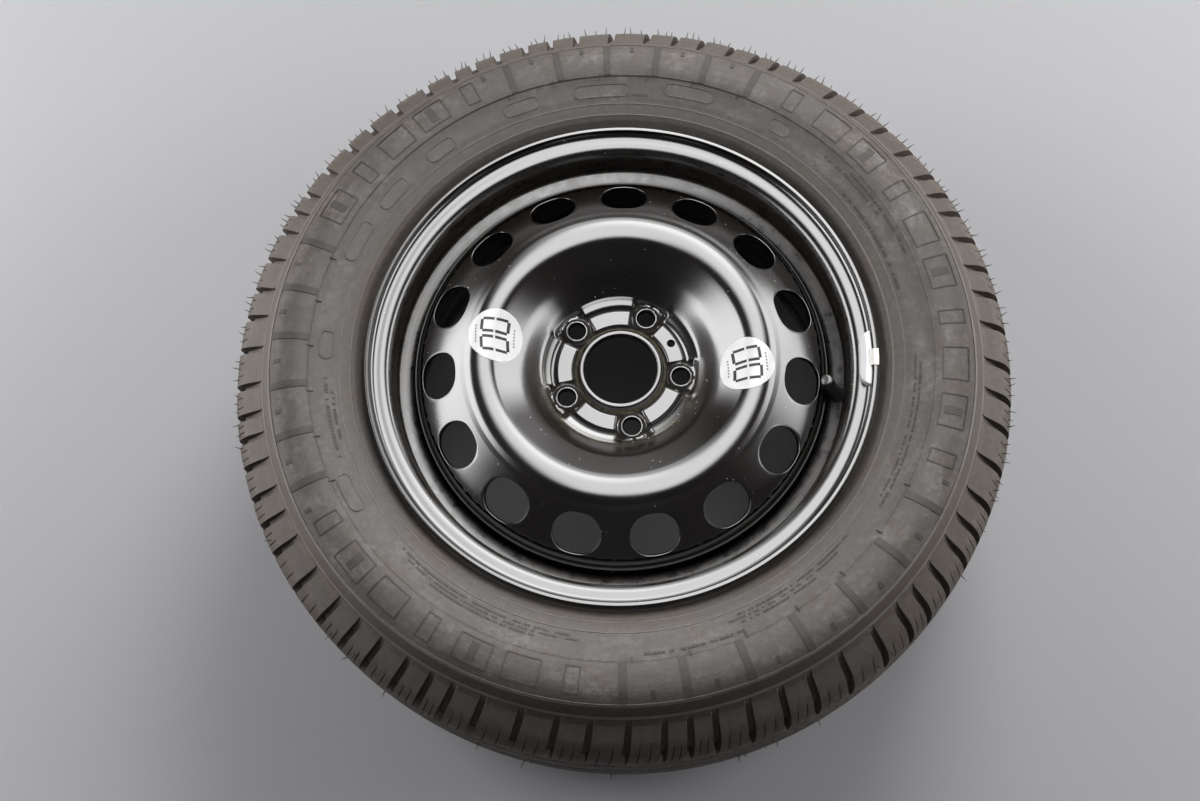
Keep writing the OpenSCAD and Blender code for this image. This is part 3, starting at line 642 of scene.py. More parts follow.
def makeThickBand():
    # the vent band at its full thickness, with rounded edges around the vents
    band = makeVentBand()
    bmesh.ops.recalc_face_normals(band, faces=band.faces)
    bmesh.ops.solidify(band, geom=band.faces[:], thickness=disc["sheet"])

    # the bridge faces that close the band towards its neighbours go
    def onEdge(face):
        radii = [polar(v.co)[0] for v in face.verts]
        return max(radii) < disc["bandIn"] + 0.2 or min(radii) > under(disc["bandOut"])[0] - 0.2

    bmesh.ops.delete(band, geom=[f for f in band.faces if onEdge(f)], context='FACES_ONLY')
    holeEdges = [e for e in band.edges if len(e.link_faces) == 2 and e.calc_face_angle(0) > 1]
    bmesh.ops.bevel(band, geom=holeEdges, offset=disc["ventEdge"], offset_type='OFFSET', segments=3,
                    profile=0.5, affect='EDGES', material=-1, clamp_overlap=True)
    return band


def makeDisc():
    mesh = cutHoles(makeHubPart())
    joinInto(mesh, makeSkirt())
    joinInto(mesh, makeThickBand())
    bmesh.ops.remove_doubles(mesh, verts=mesh.verts, dist=0.03)
    # the pad's low parts get the dull material as painted shade
    for face in mesh.faces:
        if isInPaintedShade(face):
            face.material_index = 1
    piece = finishPiece(mesh, "pressed_disc", blackCoat, "disc")
    piece.data.materials.append(hubShadeAndOil)


makeDisc()
facePoints = chainPoints([(disc["collarR"], disc["sheet"])] + discCorners()[:-1])


# where the valve stands, square on the rim's ledge, and its sizes
valve = {
    "r": 193.0, "z": 3.883, "lean": 24.0, "sleeveR": 3.5, "holeR": 5.8, "capR": 5.3, "capTop": 36.4,
    "capLow": 25.4, "capBoreR": 3.93, "ribs": 24, "ribH": 0.28, "pinTravel": 1.2,
}
valvePlace = (Matrix.Translation((valve["r"], 0, valve["z"]))
              @ Matrix.Rotation(math.radians(-valve["lean"]), 4, 'Y'))


# rim: rolled sheet from flange to flange, about the middle plane
print("rim")
rimShape = {
    "columns": 480, "sheet": 3.0, "beadR": 202.8, "halfWidth": 82.55, "flangeH": 17.5, "curl": 9.5,
    "lip": 12.0, "heel": 6.5, "seatSlope": 5.0, "seatW": 20.0, "hump": 1.2, "ledgeIn": 32.5,
    "wellSlope": 24.0, "wellDrop": 15.25, "wellEnd": 4.0, "slopeEnd": -50.0,
}
seatSlope = math.tan(math.radians(rimShape["seatSlope"]))
seatR = rimShape["beadR"] - rimShape["seatW"] * seatSlope
lipR = rimShape["beadR"] + rimShape["flangeH"]
ledgeR = seatR - 0.3
ledgeY = rimShape["halfWidth"] - rimShape["ledgeIn"]
wellR = ledgeR - rimShape["wellDrop"]


def rimCorners():
    # the rim's face towards the tyre, from the outboard edge to the inboard one
    half = rimShape["halfWidth"]
    seatY = half - rimShape["seatW"]
    side = [(lipR, half + rimShape["lip"], 0), (lipR, half, rimShape["curl"]),
            (rimShape["beadR"], half, rimShape["heel"]), (seatR, seatY, 5),
            (seatR + rimShape["hump"], seatY - 4.5, 4)]
    wellY = ledgeY - (ledgeR - wellR) * math.tan(math.radians(rimShape["wellSlope"]))
    middle = [(ledgeR, ledgeY, 6), (wellR, wellY, 8), (wellR, rimShape["wellEnd"], 14),
              (ledgeR, rimShape["slopeEnd"], 12)]
    return side + middle + [(r, -y, rounding) for r, y, rounding in reversed(side)]


def makeRim():
    tyreSide = rimCorners()
    loop = tyreSide + besideCorners(tyreSide, rimShape["sheet"])[::-1]
    # the sheet's cut edges are a little rounded
    for i in (0, len(tyreSide) - 1, len(tyreSide), len(loop) - 1):
        loop[i] = (loop[i][0], loop[i][1], 0.9, 3)
    mesh = bmesh.new()
    start = (lipR - rimShape["sheet"] / 2, loop[0][1], 0)
    drawChain(mesh, [start] + loop + [start], step=7)
    bmesh.ops.remove_doubles(mesh, verts=mesh.verts, dist=0.001)
    shareLongEdges(mesh, 8, lambda e: True)
    spinRound(mesh, rimShape["columns"])
    bmesh.ops.translate(mesh, vec=(0, 0, -wheelOffset), verts=mesh.verts)
    hole, holeR = bmesh.new(), valve["holeR"]
    bmesh.ops.create_cone(hole, cap_ends=True, segments=64, radius1=holeR, radius2=holeR, depth=14)
    bmesh.ops.transform(hole, matrix=valvePlace, verts=hole.verts)
    finishPiece(cutAway(mesh, hole), "rolled_rim", blackCoat, "rim")


makeRim()


# tyre, about the middle plane: sidewalls and lining first, then the tread zone with its blocks
print("tyre")
tyre = {
    "treadR": 343.0, "curve": 600.0, "halfSection": 110.5, "widestR": 282.9,
    "blockEndR": 314.0, "blockEndY": 87.5, "shoulderY": 75.0, "shoulderRound": 26.0,
    "treadT": 17.0, "sidewallT": 9.0, "beadW": 17.0, "heart": (300, 48), "sidewallColumns": 444,
    "grooveDepth": 8.5, "ringGrooves": (16.0, 46.0), "ringGrooveW": 9.0, "ribRows": (36, 26),
    "grooveEndY": 58, "blocks": 74, "blockGap": 6.5, "slant": 10.0, "pitchSpread": 0.3,
    "columnsPerBlock": 12, "turnR": 335, "wallDraft": 0.8,
    "sipeHalfWidth": 0.45, "sipeDepth": 3.5, "sipeShares": (0.3, 0.7),
    "sipeRows": ((52, 80), (21, 41), (-1, 11)),
}
bulgeY = rimShape["halfWidth"] + 12
edgeSpot = (tyre["blockEndR"] - 5, tyre["blockEndY"] + 8)
outerGroove = tyre["ringGrooves"][1]


def treadAt(y):
    return tyre["treadR"] - y * y / (2 * tyre["curve"])


def onTread(y):
    return treadAt(y), y


def lowSide(a, b, *rounding):
    return (mix(lipR, tyre["widestR"], a), mix(bulgeY, tyre["halfSection"], b)) + rounding


def highSide(a, b, *rounding):
    return (mix(tyre["widestR"], edgeSpot[0], a), mix(tyre["halfSection"], edgeSpot[1], b)) + rounding


def sidewallCorners():
    # the outside of a sidewall, from the flange out to the ridge at the shoulder blocks
    half = rimShape["halfWidth"]
    return [(lipR + 1.2, half + 2.8, 2), (lipR + 5.5, half + 6.6, 1.5), (lipR + 9, half + 9.6, 3),
            (lipR + 12.4, bulgeY - 0.6, 0.4, 2), (lipR + 13, bulgeY + 0.2, 0.5, 3),
            (lipR + 13.8, bulgeY - 0.1, 0.6, 2),
            lowSide(0.45, 0.41, 30, 6), lowSide(0.725, 0.77, 0.3, 2), lowSide(0.735, 0.84, 0.3, 2),
            lowSide(0.86, 1, 30, 5), highSide(0.23, 0, 30, 5), highSide(0.655, 0.31, 0.3, 2),
            highSide(0.678, 0.37, 0.3, 2), highSide(0.755, 0.43, 1, 2), edgeSpot]


def contactCorners():
    # where the bead lies on the rim, from its toe out to the flange
    half, beadR, beadW = rimShape["halfWidth"], rimShape["beadR"], tyre["beadW"]
    return [(beadR - beadW * seatSlope, half - beadW), (beadR + 0.05, half, rimShape["heel"]),
            (lipR - 9.5, half + 0.05, 3), (lipR - 4.5, half + 1.2, 4)]


def liningCorners():
    half, lowR, wideR = rimShape["halfWidth"], rimShape["beadR"] + 24, tyre["widestR"]
    toe, liningY = contactCorners()[0], tyre["halfSection"] - tyre["sidewallT"]
    topR, y = tyre["treadR"] - tyre["treadT"], tyre["shoulderY"] - 3
    return [toe, (lowR - 20, toe[1] + 1.5, 3), (lowR, half + 2, 20),
            (mix(lowR, wideR, 0.4), mix(half + 2, liningY, 0.53), 40), (wideR, liningY + 0.5, 45),
            (mix(wideR, topR, 0.6), mix(liningY, y, 0.4), 40), (treadAt(y) - tyre["treadT"], y, 30),
            (topR, 0, 0)]


def shoulderCorners():
    # the blocks' outside, from the ridge at the sidewall up to the tread
    endR, endY = tyre["blockEndR"], tyre["blockEndY"]
    return [edgeSpot, (endR - 4, endY + 4, 1, 2), (endR, endY, 1.5, 3),
            onTread(tyre["shoulderY"]) + (tyre["shoulderRound"], 9), onTread(tyre["grooveEndY"])]


def blockAngles():
    # turn at which each shoulder groove lies, in degrees, with blocks of changing length between
    def weight(i):
        waves = math.sin(math.radians(i * 97)) + math.sin(math.radians(i * 41 + 20))
        return 1 + tyre["pitchSpread"] * waves / 2

    total = sum(weight(i) for i in range(tyre["blocks"]))
    angles, reached = [], 0
    for i in range(tyre["blocks"]):
        angles.append(reached * 360 / total)
        reached += weight(i)
    return angles


def columnTurns():
    # turn of every column of the tread zone in degrees, and what the column is: g groove, s sipe, or plain
    perMm = 360 / (fullTurn * tyre["turnR"])
    gap, draft, slit = (w * perMm for w in (tyre["blockGap"] / 2, tyre["wallDraft"], tyre["sipeHalfWidth"]))
    angles = blockAngles()
    columns = []
    for here, after in zip(angles, angles[1:] + [360]):
        start, end = here + gap, after - gap
        columns += [(here - gap, ""), (here - gap + draft, "g"), (here, "g"), (start - draft, "g"),
                    (start, "")]
        first, last = (mix(start, end, share) for share in tyre["sipeShares"])
        columns += [(first - slit, ""), (first, "s"), (first + slit, ""), (mix(start, end, 0.5), ""),
                    (last - slit, ""), (last, "s"), (last + slit, "")]
    return columns


def grooveFloor(r, y):
    # the spot on a shoulder groove's floor below a spot on the block's surface
    start = treadAt(outerGroove) - tyre["grooveDepth"] + 0.6
    endR, endY = tyre["blockEndR"], tyre["blockEndY"]
    path = [(start + 0.8, outerGroove - 6), (start, outerGroove), (start - 2.4, outerGroove + 22),
            (endR - 1.4, endY - 1.4), (endR - 9, endY + 4)]
    heart = Vector(tyre["heart"])
    ray = Vector((r, y)) - heart
    for a, b in zip(path, path[1:]):
        side = Vector(b) - Vector(a)
        cross = ray.x * side.y - ray.y * side.x
        share = ((a[0] - heart.x) * side.y - (a[1] - heart.y) * side.x) / cross
        along = ((a[0] - heart.x) * ray.y - (a[1] - heart.y) * ray.x) / cross
        if -0.001 <= along <= 1.001 and share > 0:
            spot = heart + ray * min(share, 1)
            return spot.x, spot.y
    return r, y


def turnShift(r, y):
    # how far a row of the tread zone is turned in degrees, for the slant and the other side's half step
    away = abs(y)
    middle = (outerGroove + tyre["blockEndY"]) / 2
    slope = math.tan(math.radians(tyre["slant"]))
    shift = math.degrees((max(away, outerGroove) - middle) * slope / r)
    if away < outerGroove:
        shift += 1.2 * (outerGroove - away) / outerGroove
    return shift + 180 / tyre["blocks"] * (0.5 - 0.5 * max(-1, min(1, y / 11.5)))


def grooveCorners():
    # the ring grooves and ribs, from the shoulder blocks in to the middle
    corners, w = [], tyre["ringGrooveW"] / 2
    for y in reversed(tyre["ringGrooves"]):
        floor = treadAt(y) - tyre["grooveDepth"]
        for side in (1, -1):
            edge = y + side * w
            wall = [onTread(edge + side * 0.4), (treadAt(edge) - 0.4, edge),
                    (floor + 0.6, edge - side * 1.1), (floor, edge - side * 1.9)]
            corners += wall[::side]
        if y == outerGroove:
            corners += [onTread(row) for row in tyre["ribRows"]]
    return corners + [onTread(5), onTread(0)]


def mirrorHalf(half):
    bmesh.ops.mirror(half, geom=half.verts[:] + half.edges[:], axis='Z', merge_dist=0.01)


def makeTreadZone():
    zone = bmesh.new()
    drawChain(zone, shoulderCorners() + grooveCorners())
    endY, shoulder = tyre["blockEndY"], tyre["grooveEndY"]
    longEdges = [e for e in zone.edges if e.calc_length() > 6 and min(v.co.z for v in e.verts) > shoulder]
    bmesh.ops.subdivide_edges(zone, edges=longEdges, cuts=2)
    mirrorHalf(zone)
    count = tyre["blocks"] * tyre["columnsPerBlock"]
    spinRound(zone, count)
    columns = columnTurns()
    for v in zone.verts:
        r, angle = polar(v.co)
        y, away = v.co.z, abs(v.co.z)
        turn, kind = columns[round(angle / fullTurn * count) % count]
        turn = math.radians(turn + turnShift(r, y))
        if kind == "g" and outerGroove + 4.6 < away < endY + 1:
            r, deepY = grooveFloor(r, away)
            y = math.copysign(deepY, y)
        elif kind == "s" and any(low < away < high for low, high in tyre["sipeRows"]):
            r -= tyre["sipeDepth"] * (smoothStep(80, 72, away) if away > 50 else 1)
        v.co = (r * math.cos(turn), r * math.sin(turn), y)
    return zone


def makeTyre():
    # sidewalls, beads and lining: half of the outline, mirrored
    walls = bmesh.new()
    drawChain(walls, liningCorners()[::-1] + contactCorners()[1:] + sidewallCorners(), step=9)
    mirrorHalf(walls)
    spinRound(walls, tyre["sidewallColumns"])
    joinInto(walls, makeTreadZone())
    # the two zones meet in the ridge outside the blocks
    for ridgeY in (edgeSpot[1], -edgeSpot[1]):
        rims = [e for e in walls.edges if e.is_boundary]
        ridge = [e for e in rims if all(abs(v.co.z - ridgeY) < 0.01 for v in e.verts)]
        bmesh.ops.bridge_loops(walls, edges=ridge)
    bmesh.ops.translate(walls, vec=(0, 0, -wheelOffset), verts=walls.verts)
    finishPiece(walls, "tyre_carcass", tyreRubber, "tyre", sharp=30)


makeTyre()
shoulderPoints = sorted((y, r) for r, y in chainPoints(shoulderCorners() + [onTread(outerGroove + 4.9)]))


# moulded marks on the outboard sidewall, as closed raised shapes that follow its curve
print("sidewall marks")
# plates are (radius, turn, length); rows of small blocks are (radius, first turn, last turn, height)
marks = {
    "bandIn": 267.0, "bandOut": 299.0, "barW": 6.2, "barH": 0.7, "barPitch": 9.4,
    "barBlock": (3.5, 6), "tick": (0.8, 5.5), "tickH": 1.1, "sink": 0.5, "lineW": 1.1,
    "barSectors": ((72, 118), (167, 212), (278, 338)), "blockH": 0.55, "blockGap": 0.9,
    "panelSectors": ((-18, 68), (122, 163), (216, 274)), "panelPitch": 8.2, "panelTall": 22.0,
    "panelWide": 29.0, "panelNarrow": 12.0, "plateW": 12.0, "plateH": 0.8, "plateDip": 0.5,
    "plates": ((253.0, 137.0, 30.0), (252.0, 150.5, 34.0), (253.0, 163.0, 40.0), (254.0, 118.0, 34.0),
               (254.0, 101.0, 52.0), (257.0, 83.0, 46.0), (256.0, 63.0, 22.0), (256.0, 217.0, 36.0),
               (252.0, 186.0, 26.0)),
    "rows": ((246.5, 20, 44, 1.8), (250.5, -24, 6, 1.7), (254.5, -26, 4, 1.7), (246.5, -60, -34, 1.6),
             (250.0, -62, -38, 1.6), (253.5, -60, -44, 1.6), (247.0, 232, 268, 1.7), (250.4, 234, 270, 1.7),
             (253.8, 240, 262, 1.7), (252.0, 193, 210, 2.6), (247.0, 196, 206, 2.0), (258.0, 36, 52, 2.2),
             (262.0, 26, 46, 1.8), (250.0, 90, 96, 1.8), (260.5, 282, 300, 2.0)),
    "ridgeR": 242.5,
}
bandMiddle = (marks["bandIn"] + marks["bandOut"]) / 2
sidewallPoints = [p for p in chainPoints(sidewallCorners()) if p[0] > 235]


def layOnRing(verts, points, centreR, turn):
    # lays flat shapes on a surface of revolution: x runs along the turn, y outwards, z is lift
    for v in verts:
        r = centreR + v.co.y
        angle = math.radians(turn) - v.co.x / r
        v.co = (r * math.cos(angle), r * math.sin(angle), heightAt(points, r) + v.co.z)


def layOnSidewall(verts, r, turn):
    layOnRing(verts, sidewallPoints, r, turn)


def flatPlate(mesh, width, length, low, high, columns=1, rows=1):
    # a closed plate with its corners on a grid, so that it can follow a curved surface
    grid = bmesh.ops.create_grid(mesh, x_segments=columns, y_segments=rows, size=0.5)["verts"]
    bmesh.ops.scale(mesh, vec=(width, length, 1), verts=grid)
    bmesh.ops.translate(mesh, vec=(0, 0, high), verts=grid)
    faces = list({f for v in grid for f in v.link_faces})
    bmesh.ops.recalc_face_normals(mesh, faces=faces)
    walls = bmesh.ops.extrude_face_region(mesh, geom=faces, use_keep_orig=True)["geom"]
    lower = [g for g in walls if isinstance(g, bmesh.types.BMVert)]
    bmesh.ops.translate(mesh, vec=(0, 0, low - high), verts=lower)
    return grid + lower


def rimmedPlate(mesh, length, width, low, high):
    # a plate with round ends, sunk inside a narrow rim: the grid's lines crowd at its edges
    counts, rimInsets = (16, 6), (0, 0.9, 1.5)
    verts = flatPlate(mesh, length, width, low, high, *counts)
    for v in verts:
        lines = []
        for axis, size, count in ((0, length, counts[0]), (1, width, counts[1])):
            line = round((v.co[axis] / size + 0.5) * count)
            line = min(line, count - line)
            inset = rimInsets[min(line, 2)]
            if line > 2:
                inset = mix(inset, size / 2, (line - 2) / (count / 2 - 2))
            v.co[axis] = math.copysign(size / 2 - inset, v.co[axis])
            lines.append(line)
        if min(lines) > 1 and v.co.z > high - 0.01:
            v.co.z -= marks["plateDip"]
        past = max(0.0, abs(v.co.x) - (length - width) / 2) / (width / 2)
        v.co.y *= max(0.35, math.sqrt(max(0.0, 1 - past * past)))
    return verts


def addRidge(mesh, r, halfWidth, lift):
    foot = [(edge, heightAt(sidewallPoints, edge) - 0.4) for edge in (r - halfWidth, r + halfWidth)]
    top = heightAt(sidewallPoints, r) + lift
    ridge = bmesh.new()
    drawChain(ridge, [foot[0], (r - halfWidth / 4, top), (r + halfWidth / 4, top), foot[1], foot[0]])
    bmesh.ops.remove_doubles(ridge, verts=ridge.verts, dist=0.001)
    spinRound(ridge, 222)
    joinInto(mesh, ridge)


def addBars(mesh):
    # fine ribs across the band, each with a small block and a thin tick beside it
    low, high, bandOut = -marks["sink"], marks["barH"], marks["bandOut"]
    for start, end in marks["barSectors"]:
        steps = round((end - start) / marks["barPitch"])
        for i in range(steps + 1):
            turn = start + (end - start) * i / steps
            bar = flatPlate(mesh, marks["barW"], bandOut - marks["bandIn"], low, high, 1, 7)
            layOnSidewall(bar, bandMiddle, turn)
            block = flatPlate(mesh, *marks["barBlock"], low, high * 0.7, 1, 2)
            layOnSidewall(block, bandOut - 6, turn + 4.6)
            tick = flatPlate(mesh, *marks["tick"], low, marks["tickH"])
            layOnSidewall(tick, marks["bandIn"] - 2, turn + 1.6)


def addPanels(mesh):
    # where the name would stand: plain outlined panels, one narrow panel before every two wide ones
    low, high, middle = -marks["sink"], marks["barH"], bandMiddle
    tall, line = marks["panelTall"], marks["lineW"]
    for start, end in marks["panelSectors"]:
        steps = round((end - start) / marks["panelPitch"])
        for i in range(steps):
            turn = start + (end - start) * (i + 0.5) / steps
            wide = marks["panelWide"] if i % 3 else marks["panelNarrow"]
            side = math.degrees(wide / 2 / middle)
            for offset in (-side, side):
                layOnSidewall(flatPlate(mesh, line, tall, low, high * 0.8, 1, 5), middle, turn + offset)
            for r in (middle - tall / 2, middle + tall / 2):
                layOnSidewall(flatPlate(mesh, wide * r / middle, line, low, high * 0.8, 8, 1), r, turn)
            if i % 3 == 1:
                layOnSidewall(flatPlate(mesh, 7, tall - 7, low, high * 0.5, 2, 4), middle, turn)


def addRows(mesh):
    # small print is stood for by rows of plain blocks, with a gap here and there
    for r, turn, end, tall in marks["rows"]:
        while turn < end:
            width = random.choice((1.2, 1.6, 2.0, 2.4)) * tall / 2
            if random.random() > 0.15:
                layOnSidewall(flatPlate(mesh, width, tall, -marks["sink"], marks["blockH"]), r, turn)
            turn += math.degrees((width + marks["blockGap"]) / r)


def makeSidewallMarks():
    raised, frames = bmesh.new(), bmesh.new()
    addBars(raised)
    addPanels(raised)
    for r, turn, length in marks["plates"]:
        plate = rimmedPlate(frames, length, marks["plateW"], -marks["sink"], marks["plateH"])
        layOnSidewall(plate, r, turn)
    addRows(raised)
    addRidge(frames, marks["bandIn"], 0.8, 0.15)
    addRidge(frames, marks["ridgeR"], 0.7, 0.45)
    addRidge(frames, marks["bandOut"] + 0.6, 0.8, 0.5)
    # the marks' darker rubber paints the shadow of the raised outlines
    for drawn, name, material in ((raised, "sidewall_marks", markShadeRubber),
                                  (frames, "sidewall_frames", tyreRubber)):
        bmesh.ops.translate(drawn, vec=(0, 0, -wheelOffset), verts=drawn.verts)
        finishPiece(drawn, name, material, sharp=25)


makeSidewallMarks()


# spew hairs: thin whiskers that the mould's air holes leave on every shoulder block and on the ribs
print("spew hairs")
hair = {"length": 6.8, "thick": 0.6, "tip": 0.18, "sink": 0.6, "perBlock": 3, "edgeY": 72.0,
        "ribs": (31.0, 0.0, -31.0), "ribStep": 6.0, "wornFrom": 195, "wornTo": 345, "wornShare": 0.88}


def addHair(mesh, r, y, turn, outward):
    # outward is how far the hair leans away from straight out, in degrees
    length = hair["length"] * random.uniform(0.6, 1.15)
    cone = bmesh.ops.create_cone(mesh, cap_ends=True, segments=5, radius1=hair["thick"],
                                 radius2=hair["tip"], depth=length)["verts"]
    bmesh.ops.translate(mesh, vec=(0, 0, length / 2 - hair["sink"]), verts=cone)
    turnVerts(mesh, cone, 90 - outward, 'Y')
    turnVerts(mesh, cone, random.uniform(-22, 22))
    bmesh.ops.translate(mesh, vec=(r, 0, y - wheelOffset), verts=cone)
    turnVerts(mesh, cone, turn)


def isWorn(turn):
    # most hairs on the photograph's lower half are gone
    return hair["wornFrom"] < turn % 360 < hair["wornTo"] and random.random() < hair["wornShare"]


def makeHairs():
    mesh = bmesh.new()
    angles = blockAngles()
    for side in (1, -1):
        for here, after in zip(angles, angles[1:] + [360]):
            for i in range(hair["perBlock"]):
                share = 0.24 + 0.5 * i / (hair["perBlock"] - 1) + random.uniform(-0.04, 0.04)
                y = side * (hair["edgeY"] + random.uniform(-1.5, 1.5))
                r = heightAt(shoulderPoints, abs(y))
                turn = mix(here, after, share) + turnShift(r, y)
                if not isWorn(turn):
                    addHair(mesh, r, y, turn, side * random.uniform(5, 40))
    for y in hair["ribs"]:
        for i in range(round(360 / hair["ribStep"])):
            turn = (i + random.uniform(-0.2, 0.2)) * hair["ribStep"]
            if not isWorn(turn):
                addHair(mesh, treadAt(y), y, turn, random.uniform(-20, 20))
    finishPiece(mesh, "spew_hairs", hairRubber)


makeHairs()


# stickers: round white films on the bowl and crown, with plain figures in black segments
print("stickers")
sticker = {
    "r": 110.5, "across": 46.0, "along": 48.0, "film": 0.2, "lift": 0.1, "inkSink": 0.05, "inkH": 0.1,
    "turns": {"sticker_left": 177.5, "sticker_right": 2.0}, "columns": 28,
    "figureH": 22.0, "figureW": 11.5, "stroke": 2.5, "strokeEnd": 1.6, "gap": 5.0, "tilt": 9.0,
    "dashes": 6, "dashL": 1.7, "dashW": 1.2, "dashPitch": 2.9, "dashOut": 5.0,
}


def makeSticker(name, turn):
    film, top = bmesh.new(), sticker["lift"] + sticker["film"]
    verts = flatPlate(film, 2, 2, sticker["lift"], top, sticker["columns"], sticker["columns"])
    for v in verts:
        x, y = v.co.x, v.co.y
        v.co.x = x * math.sqrt(1 - y * y / 2) * sticker["along"] / 2
        v.co.y = y * math.sqrt(1 - x * x / 2) * sticker["across"] / 2
    layOnRing(verts, facePoints, sticker["r"], turn)
    finishPiece(film, name + "_film", stickerFilm, name)
    # two figures side by side along the turn, then rows of faint dashes
    figures, dashes = bmesh.new(), bmesh.new()
    tall, wide, stroke = sticker["figureH"], sticker["figureW"], sticker["stroke"]

    def addStroke(mesh, x, y, length, width):
        cells = (max(1, round(length / 2)), max(1, round(width / 2)))
        verts = flatPlate(mesh, length, width, top - sticker["inkSink"], top + sticker["inkH"], *cells)
        bmesh.ops.translate(mesh, vec=(x, y, 0), verts=verts)

    for centre in (-wide / 2 - sticker["gap"] / 2, wide / 2 + sticker["gap"] / 2):
        for side in (-1, 1):
            x = centre + side * wide / 2
            for y in (-tall / 4, tall / 4):
                addStroke(figures, x, y, stroke, tall / 2 - sticker["strokeEnd"])
            addStroke(figures, centre, side * tall / 2, wide - sticker["strokeEnd"], stroke)
    rowY = tall / 2 + sticker["dashOut"]
    for y in (-rowY, rowY):
        for i in range(sticker["dashes"]):
            x = (i - (sticker["dashes"] - 1) / 2) * sticker["dashPitch"]
            addStroke(dashes, x, y, sticker["dashL"], sticker["dashW"])
    for mesh, ink, label in ((figures, stickerInk, "_figures"), (dashes, paleInk, "_dashes")):
        turnVerts(mesh, mesh.verts, sticker["tilt"])
        layOnRing(mesh.verts, facePoints, sticker["r"], turn)
        finishPiece(mesh, name + label, ink)


for name, turn in sticker["turns"].items():
    makeSticker(name, turn)


# valve: snap-in rubber body and ribbed cap, square on the rim's ledge, and the core's spring
print("valve")


def makeValveRubber():
    mesh, inner = bmesh.new(), valve["sleeveR"]
    drawChain(mesh, [(inner, -8.4), (8, -8.4, 0.8), (9.5, -7, 1), (8.4, -3.1), (5.75, -3), (5.75, 0.2),
                     (7.5, 0.2, 0.3), (7.7, 1.6, 0.8), (7.0, 3.4, 1.5), (5.9, 6.5, 4), (5.5, 11, 6),
                     (5.1, 16, 6), (4.9, 24.4, 0.5), (4.2, 25, 0.3), (inner, 25), (inner, -8.4)])
    bmesh.ops.remove_doubles(mesh, verts=mesh.verts, dist=0.001)
    spinRound(mesh, 64)
    finishPiece(mesh, "valve_boot", valveRubber, "valve_rubber", place=valvePlace)


def makeCap():
    mesh = bmesh.new()
    low, top, r, bore = valve["capLow"], valve["capTop"], valve["capR"], valve["capBoreR"]
    drawChain(mesh, [(bore, top - 1.2), (bore, low, 0.2), (r - 0.1, low, 0.4), (r, low + 1.4, 0.2),
                     (r, top - 2.0, 0.8), (r - 0.9, top - 0.6, 0.8), (2.6, top, 1.2),
                     (1.6, top - 0.25, 0.5), (0.4, top - 0.3), (0.02, top - 0.3)])
    body = [e for e in mesh.edges if all(abs(v.co.x - r) < 0.01 for v in e.verts) and e.calc_length() > 3]
    bmesh.ops.subdivide_edges(mesh, edges=body, cuts=3)
    spinRound(mesh, valve["ribs"] * 6)
    bmesh.ops.remove_doubles(mesh, verts=mesh.verts, dist=0.03)
    bmesh.ops.holes_fill(mesh, edges=[e for e in mesh.edges if e.is_boundary])
    for v in mesh.verts:
        radius, angle = polar(v.co)
        if radius > r - 0.05 and low + 1.2 < v.co.z < top - 1.8:
            dip = valve["ribH"] * (0.5 - 0.5 * math.cos(angle * valve["ribs"]))
            v.co.x *= (radius - dip) / radius
            v.co.y *= (radius - dip) / radius
    finishPiece(mesh, "ribbed_cap", capPlastic, "valve_cap", body="valve_cap",
                place=valvePlace)


def makeSpring():
    # the core's spring, in the imported model's shape
    mesh = nodeMesh("core_spring")
    piece = finishPiece(mesh, "wound_spring", springSteel, "core_spring", scale=1)
    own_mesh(piece)


makeValveRubber()
makeCap()
makeSpring()


# balance weight: the cast body with softened edges
print("weight")
weight = {"cell": 0.4, "smoothing": 0.6, "rounds": 4}


def makeWeight():
    rough = addObject("rough_weight", meshData(nodeMesh("weight_body")))
    solid = rough.modifiers.new("even", 'REMESH')
    solid.mode = 'VOXEL'
    solid.voxel_size = weight["cell"] * mm
    soft = rough.modifiers.new("soft", 'SMOOTH')
    soft.factor = weight["smoothing"]
    soft.iterations = weight["rounds"]
    mesh = bakeModifiers(rough)
    bpy.data.meshes.remove(rough.data)
    finishPiece(mesh, "cast_weight", weightCoat, "weight_body", scale=1, sharp=60)


makeWeight()


# stage: plain floor, soft boxes and the photograph's camera
print("stage")


def makeFloor():
    mesh = bmesh.new()
    bmesh.ops.create_grid(mesh, x_segments=1, y_segments=1, size=6)
    bmesh.ops.translate(mesh, vec=(0, 0, cadBounds[0][2]), verts=mesh.verts)
    floor = addObject("floor", meshData(mesh, "floor"))
    # white paper that scatters the light and hardly shines
    floor.data.materials.append(newMaterial("matt_paper_sweep", "#c6c6c9", 0.9, gloss=0.1)[0])


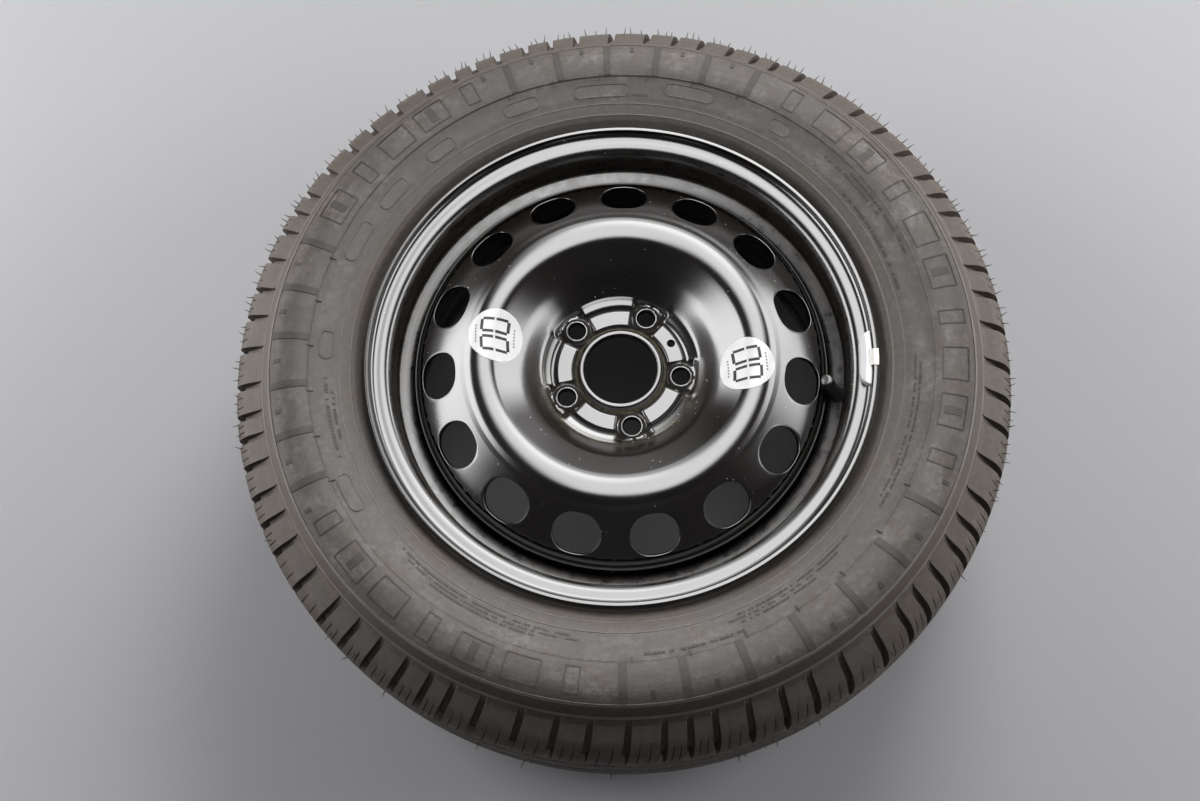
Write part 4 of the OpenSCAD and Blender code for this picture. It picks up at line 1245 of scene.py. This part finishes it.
def addSoftBox(name, direction, distance, size, radiance, core, seenOnly):
    # a lamp aimed at the hub, fading towards its edges like a soft box's cloth; direction is (degrees from
    # vertical, turn in degrees), core the share of each half that is fully bright
    tilt, turn = math.radians(direction[0]), math.radians(direction[1])
    away = Vector((math.sin(tilt) * math.cos(turn), math.sin(tilt) * math.sin(turn), math.cos(tilt)))
    data = bpy.data.lights.new(name, 'AREA')
    data.shape = 'RECTANGLE'
    data.size, data.size_y = size
    data.energy = math.pi * size[0] * size[1]
    data.use_nodes = True
    add = partial(addNode, data.node_tree)
    place = add("SeparateXYZ", add("NewGeometry")["Parametric"])
    glow = radiance
    for axis in (0, 1):
        off = add("Math", add("Math", place[axis], 0.5, operation='SUBTRACT')[0], operation='ABSOLUTE')[0]
        glow = add("MapRange", off, 0.5, core[axis] / 2, 0, glow, interpolation_type='SMOOTHSTEP')[0]
    setInputs(data.node_tree.nodes["Emission"], {"Strength": glow})
    lamp = addObject(name, data)
    # local X stays level, so size is (across, up)
    level = Vector((0, 0, 1)).cross(away) if direction[0] > 45 else Vector((1, 0, 0)) - away * away.x
    level.normalize()
    turned = Matrix((level, away.cross(level), away)).transposed().to_4x4()
    lamp.matrix_world = Matrix.Translation(away * distance) @ turned
    lamp.visible_diffuse = not seenOnly
    lamp.visible_glossy = seenOnly
    lamp.visible_camera = False


def makeLights():
    # what lights the colours
    addSoftBox("behind", (60, 80), 3.0, (2.2, 2.2), 7.8, (0.4, 0.4), False)
    addSoftBox("right", (66, 14), 1.9, (1.6, 1.2), 4.9, (0.4, 0.4), False)
    addSoftBox("left", (66, 172), 1.9, (1.6, 1.2), 6.3, (0.4, 0.4), False)
    # what the gloss shows: a long box overhead that runs on behind, and a low one on each side
    addSoftBox("overhead_seen", (19, 75), 2.15, (2.7, 4.9), 12.0, (0.3, 0.5), True)
    addSoftBox("behind_seen", (62, 90), 2.6, (4.3, 4.2), 5.2, (0.3, 0.15), True)
    addSoftBox("right_seen", (82, 18), 2.2, (4.0, 1.9), 11.5, (0.5, 0.6), True)
    addSoftBox("left_seen", (80, 181), 2.2, (3.6, 2.1), 13.5, (0.5, 0.6), True)
    world = bpy.data.worlds.new("studio")
    bpy.context.scene.world = world
    world.use_nodes = True
    setInputs(world.node_tree.nodes["Background"], {"Color": linear("#8e8e92"), "Strength": 0.35})


def makeCamera():
    data = bpy.data.cameras.new("camera")
    data.sensor_width = 36
    data.lens = 40.35
    data.clip_end = 50
    camera = addObject("camera", data)
    camera.location = (0.07911, -0.41604, 1.12474)
    camera.rotation_euler = [math.radians(a) for a in (19.368, 2.112, 7.638)]
    bpy.context.scene.camera = camera


makeFloor()
makeLights()
makeCamera()
bpy.context.scene.view_settings.view_transform = 'Standard'
